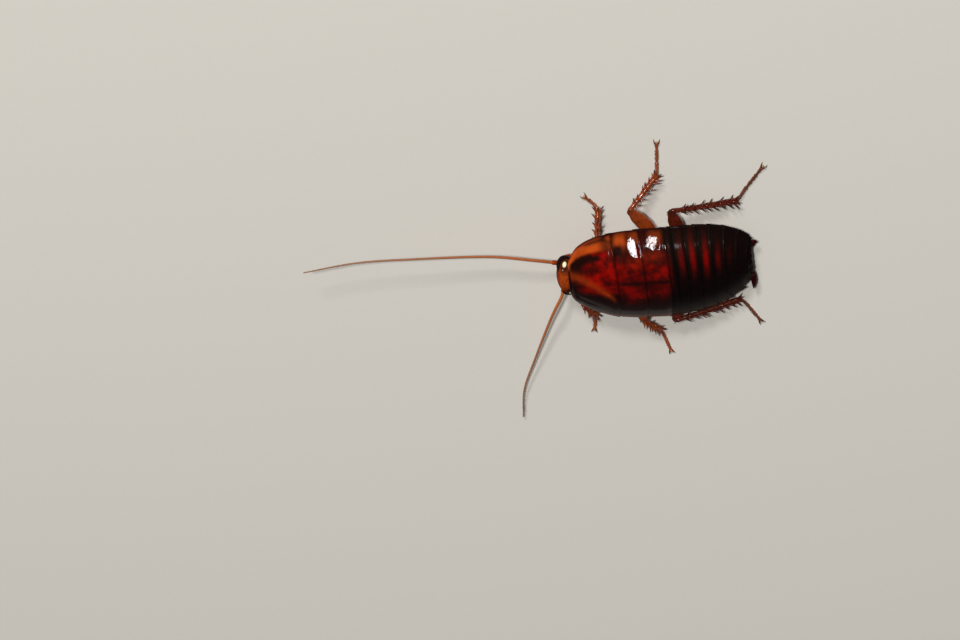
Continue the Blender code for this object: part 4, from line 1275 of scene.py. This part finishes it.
def limb(shapes, start, end, stations, widths, heights, rows, sides, bow=0.0, ends=(1.0, 1.0)):
    """An oval limb between two joints, with a darker band at each end."""
    share = np.linspace(0.0, 1.0, rows)
    path = start + (end - start) * share[:, None]
    path[:, 2] += bow * np.sin(np.pi * share)
    rings = sections(path, profile(stations, widths, share), profile(stations, heights, share), sides)
    joint = np.maximum(ends[0] * hill(share, 0.0, 0.07), ends[1] * hill(share, 1.0, 0.07))
    shapes.add(*loft(rings), joint=per_ring(joint, sides, ends))
    return path


def spines_along(shapes, path, radius, rows, per_row, length, width, rng, lean=0.9, reach=(0.15, 0.97)):
    """Rows of movable spines, each in a swollen socket and leaning to the limb's far end."""
    along = unit(path[-1] - path[0])
    side, up = sideways(along)
    for row in rows:
        outward = turned(side, up, math.radians(row))
        for k in range(per_row):
            share = mix(*reach, (k + rng.uniform(0.25, 0.75)) / per_row)
            at = path[min(int(share * len(path)), len(path) - 1)]
            direction = outward + along * lean * rng.uniform(0.8, 1.25) + side * rng.uniform(-0.12, 0.12)
            size = length * rng.uniform(0.8, 1.15) * (0.75 + 0.25 * share)
            add_spine(shapes, at + outward * radius * 0.75, direction, size, width, 0.05,
                      clearance=SPINE_CLEARANCE)
            add_spine(shapes, at + outward * radius * 0.6, direction, size * 0.26, width * 1.9,
                      clearance=SOCKET_CLEARANCE, dark=0.0, joint=0.5)


def spurs(shapes, end, along, width, length, rng):
    """A crown of spurs round the far end of a shin."""
    side, up = sideways(along)
    for k in range(6):
        outward = turned(side, up, math.radians(60.0 * k + 20.0))
        direction = outward * 0.8 + along * rng.uniform(0.9, 1.2)
        add_spine(shapes, end - along * 0.25 + outward * width * 0.3, direction,
                  length * rng.uniform(0.8, 1.1), 0.3, 0.05, clearance=SPINE_CLEARANCE)


def hip(shapes, settings, leg, rng):
    """The broad, flat first joint of a leg, with fine hairs."""
    path = limb(shapes, leg.hip, leg.trochanter, (0.0, 0.12, 0.45, 0.8, 0.95, 1.0),
                (1.5, 2.3, 2.7, 2.0, 1.4, 0.7), (0.7, 1.15, 1.4, 1.2, 1.0, 0.5), 46, 30, ends=(0.6, 0.8))
    hairs_on(shapes, path, 0.6, 14, 0.35, rng)


def thigh(shapes, settings, leg, rng):
    """The small joint at the hip, then the broad thigh with spines below and one at the knee."""
    start, end, wide = leg.trochanter, leg.knee, leg.femur_width
    along = unit(end - start)
    limb(shapes, start - along * 0.35, start + along * wide * 0.42, (0.0, 0.3, 0.7, 1.0),
         [wide * w for w in (0.25, 0.5, 0.52, 0.3)], (0.5, 0.95, 0.9, 0.5), 20, 24)
    thick = 0.57 * wide ** 0.7
    path = limb(shapes, start + along * wide * 0.2, end + along * 0.2,
                (0.0, 0.06, 0.16, 0.45, 0.7, 0.88, 0.96, 1.0),
                [wide * s for s in (0.3, 0.52, 0.74, 1.0, 0.9, 0.6, 0.52, 0.26)],
                [thick * s for s in (0.5, 0.9, 1.05, 1.1, 1.0, 0.85, 0.75, 0.4)], 70, 36, ends=(0.5, 0.9))
    longest = settings.spine / MM
    for row, reach in ((-35.0, (0.42, 0.9)), (-145.0, (0.5, 0.9))):
        spines_along(shapes, path, thick * 0.62, (row,), max(3, leg.spines // 2), 0.62 * longest, 0.3, rng,
                     0.8, reach)
    add_spine(shapes, end + UP * 0.25 - along * 0.5, along + UP * 0.35, 0.75 * longest, 0.32)
    hairs_on(shapes, path, thick * 0.5, 40, 0.3, rng)


def shin(shapes, settings, leg, rng):
    """The straight shin with its rows of long spines and a crown of spurs."""
    start, end, wide = leg.knee, leg.ankle, leg.tibia_width
    along = unit(end - start)
    path = limb(shapes, start - along * 0.2, end + along * 0.08, (0.0, 0.05, 0.14, 0.5, 0.93, 1.0),
                [wide * s for s in (0.5, 0.82, 0.7, 0.8, 1.0, 0.7)],
                [wide * s for s in (0.45, 0.75, 0.62, 0.68, 0.88, 0.62)], 80, 28, 0.12)
    longest = settings.spine / MM
    spines_along(shapes, path, wide * 0.42, TOP_SPINE_ROWS, leg.spines, longest, 0.34, rng)
    spines_along(shapes, path, wide * 0.4, UNDER_SPINE_ROWS, max(3, leg.spines - 3), 0.85 * longest, 0.32,
                 rng)
    spurs(shapes, end, along, wide, 0.8 * longest, rng)
    hairs_on(shapes, path, wide * 0.36, 50, 0.2, rng)


def foot(shapes, settings, leg, rng):
    """Five segments over pale pads, with a lobe and two hooked claws at the end."""
    ankle, toe = leg.ankle, leg.toe
    line = toe - ankle
    ahead = unit(line)
    side, _ = sideways(ahead)
    reached = 0.0
    for order, share in enumerate(FOOT_SHARES):
        last = order == len(FOOT_SHARES) - 1
        t = np.linspace(reached - 0.012 * (order > 0), reached + share, 22)
        path = ankle + line * t[:, None]
        path[:, 2] = mix(ankle[2], toe[2], smooth_step(t / 0.35))
        inside = (t - t[0]) / (t[-1] - t[0])
        swell = profile((0.0, 0.12, 0.6, 0.92, 1.0), (0.5, 0.62, 0.74 if last else 0.86, 1.0, 0.5), inside)
        joint = np.maximum(hill(inside, 0.0, 0.12), 0.7 * hill(inside, 1.0, 0.1))
        shapes.add(*loft(sections(path, 0.7 * swell, 0.6 * swell, 24)),
                   joint=per_ring(joint, 24, (1.0, 0.7)), pad=0.1)
        hairs_on(shapes, path, 0.3, 16, 0.22, rng)
        if not last:
            rings = sections(path[-4:] - 0.12 * UP, [0.2, 0.46, 0.46, 0.2], [0.12, 0.24, 0.24, 0.12], 16)
            shapes.add(*loft(rings), pad=1.0)
        reached += share
    lobe = toe + ahead * np.array([[0.0], [0.12], [0.3], [0.42]])
    shapes.add(*loft(sections(lobe, [0.3, 0.5, 0.46, 0.15], [0.24, 0.34, 0.3, 0.1], 18)), pad=0.8)
    share = np.linspace(0.0, 1.0, 14)
    radius = 0.17 * (1.0 - 0.92 * share ** 1.3)
    for way in (-1, 1):
        path = (toe - ahead * 0.25 + side * way * 0.1 + ahead * (1.05 * share)[:, None]
                + side * way * (0.75 * share - 0.35 * share ** 2)[:, None])
        path[:, 2] += 0.16 * np.sin(np.pi * share) - 0.06 * share
        rings = sections(path, 2 * radius, 2.3 * radius, 12, lowest=0.02)
        shapes.add(*loft(rings), tip=per_ring(0.35 + 0.6 * share, 12, (0.3, 1.0)))


LEG_PARTS = (("coxa", hip), ("femur", thigh), ("tibia", shin), ("tarsus", foot))


class COCKROACH_OT_legs(bpy.types.Operator):
    """Build the six spiny legs, each of hip, thigh, shin and foot"""
    bl_idname = "cockroach.legs"
    bl_label = "Legs"

    def execute(self, context):
        for label, legs in LEGS.items():
            for place, leg in legs.items():
                rng = random.Random(f"leg {place} {label}")
                material = finish(context, "dark leg" if place == "hind" else "light leg")
                places = [np.array(value) for value in leg[:5]]
                for part, make in LEG_PARTS:
                    shapes = Shapes()
                    make(shapes, context.scene.cockroach_legs, Leg(*places, *leg[5:]), rng)
                    shapes.build(f"leg_{place}_{label}_{part}", material, f"{part}_{place}_{label}", "leg")
        return {"FINISHED"}


# The floor, the lights and the camera

FLOOR_WIDTH = 6.0
SENSOR_WIDTH = 36.0                  # in millimetres, for the lens


def area_light(name, direction, distance, width, power):
    light = bpy.data.lights.new(name, "AREA")
    light.shape = "DISK"
    light.size = width
    light.energy = power
    lamp = bpy.data.objects.new(name, light)
    lamp.location = direction * distance
    lamp.rotation_euler = direction.to_track_quat("Z", "Y").to_euler()
    bpy.context.scene.collection.objects.link(lamp)
    return lamp


class COCKROACH_OT_stage(bpy.types.Operator):
    """Set the plain floor, the soft lights and the photograph's camera"""
    bl_idname = "cockroach.stage"
    bl_label = "Floor, lights and camera"

    def execute(self, context):
        scene = context.scene
        settings = scene.cockroach_stage
        mesh = bpy.data.meshes.new("floor")
        reach = FLOOR_WIDTH / 2
        corners = [(-reach, -reach, 0), (reach, -reach, 0), (reach, reach, 0), (-reach, reach, 0)]
        mesh.from_pydata(corners, [], [(0, 1, 2, 3)])
        mesh.materials.append(finish(context, "plain floor"))
        floor = bpy.data.objects.new("floor", mesh)
        scene.collection.objects.link(floor)
        key = area_light("key_light", KEY_DIRECTION, KEY_DISTANCE, KEY_WIDTH, settings.key)
        key.visible_glossy = False
        area_light("small_light", FLASH_DIRECTION, FLASH_DISTANCE, FLASH_WIDTH, settings.flash)
        world = bpy.data.worlds.new("surround")
        world.use_nodes = True
        fill(world.node_tree.nodes["Background"],
             {"Color": settings.world, "Strength": settings.world_strength})
        scene.world = world
        scene.view_settings.view_transform = "Standard"
        camera = bpy.data.objects.new("camera", bpy.data.cameras.new("camera"))
        camera.data.lens = settings.lens
        camera.data.sensor_width = SENSOR_WIDTH
        camera.data.clip_start = 0.01
        camera.location = CAMERA_PLACE * MM + STAND
        turn = (CAMERA_AIM - CAMERA_PLACE).to_track_quat("-Z", "Y") @ Quaternion((0, 0, 1), CAMERA_ROLL)
        camera.rotation_euler = turn.to_euler()
        scene.collection.objects.link(camera)
        scene.camera = camera
        return {"FINISHED"}


# The sidebar, and the making of it all

SECTIONS = (
    ("Back", "cockroach_shell", ("back",)),
    ("Belly", "cockroach_abdomen", ("belly", "cerci")),
    ("Head", "cockroach_head", ("head", "eyes", "mouth")),
    ("Feelers", "cockroach_feelers", ("feelers",)),
    ("Chest and legs", "cockroach_legs", ("chest", "legs")),
    ("Stage", "cockroach_stage", ("stage",)),
)


class COCKROACH_PT_panel(bpy.types.Panel):
    """Lists the pieces of the cockroach with their sizes and colours"""
    bl_idname = "COCKROACH_PT_panel"
    bl_label = "Cockroach"
    bl_space_type = "VIEW_3D"
    bl_region_type = "UI"
    bl_category = "Cockroach"

    def draw(self, context):
        for title, group, operators in SECTIONS:
            box = self.layout.box()
            box.label(text=title)
            settings = getattr(context.scene, group)
            for key in settings.__annotations__:
                box.prop(settings, key)
            for operator in operators:
                box.operator(f"cockroach.{operator}")


SETTINGS = {
    "cockroach_shell": ShellSettings,
    "cockroach_abdomen": AbdomenSettings,
    "cockroach_head": HeadSettings,
    "cockroach_feelers": FeelerSettings,
    "cockroach_legs": LegSettings,
    "cockroach_stage": StageSettings,
}
PARTS = (
    COCKROACH_OT_back, COCKROACH_OT_belly, COCKROACH_OT_cerci, COCKROACH_OT_head, COCKROACH_OT_eyes,
    COCKROACH_OT_mouth, COCKROACH_OT_feelers, COCKROACH_OT_chest, COCKROACH_OT_legs, COCKROACH_OT_stage,
    COCKROACH_PT_panel,
)


def register():
    for name, group in SETTINGS.items():
        bpy.utils.register_class(group)
        setattr(bpy.types.Scene, name, PointerProperty(type=group))
    for part in PARTS:
        bpy.utils.register_class(part)


def unregister():
    for part in reversed(PARTS):
        bpy.utils.unregister_class(part)
    for name, group in SETTINGS.items():
        delattr(bpy.types.Scene, name)
        bpy.utils.unregister_class(group)


def main():
    register()
    for _, _, operators in SECTIONS:
        for operator in operators:
            getattr(bpy.ops.cockroach, operator)()


if __name__ == "__main__":
    main()
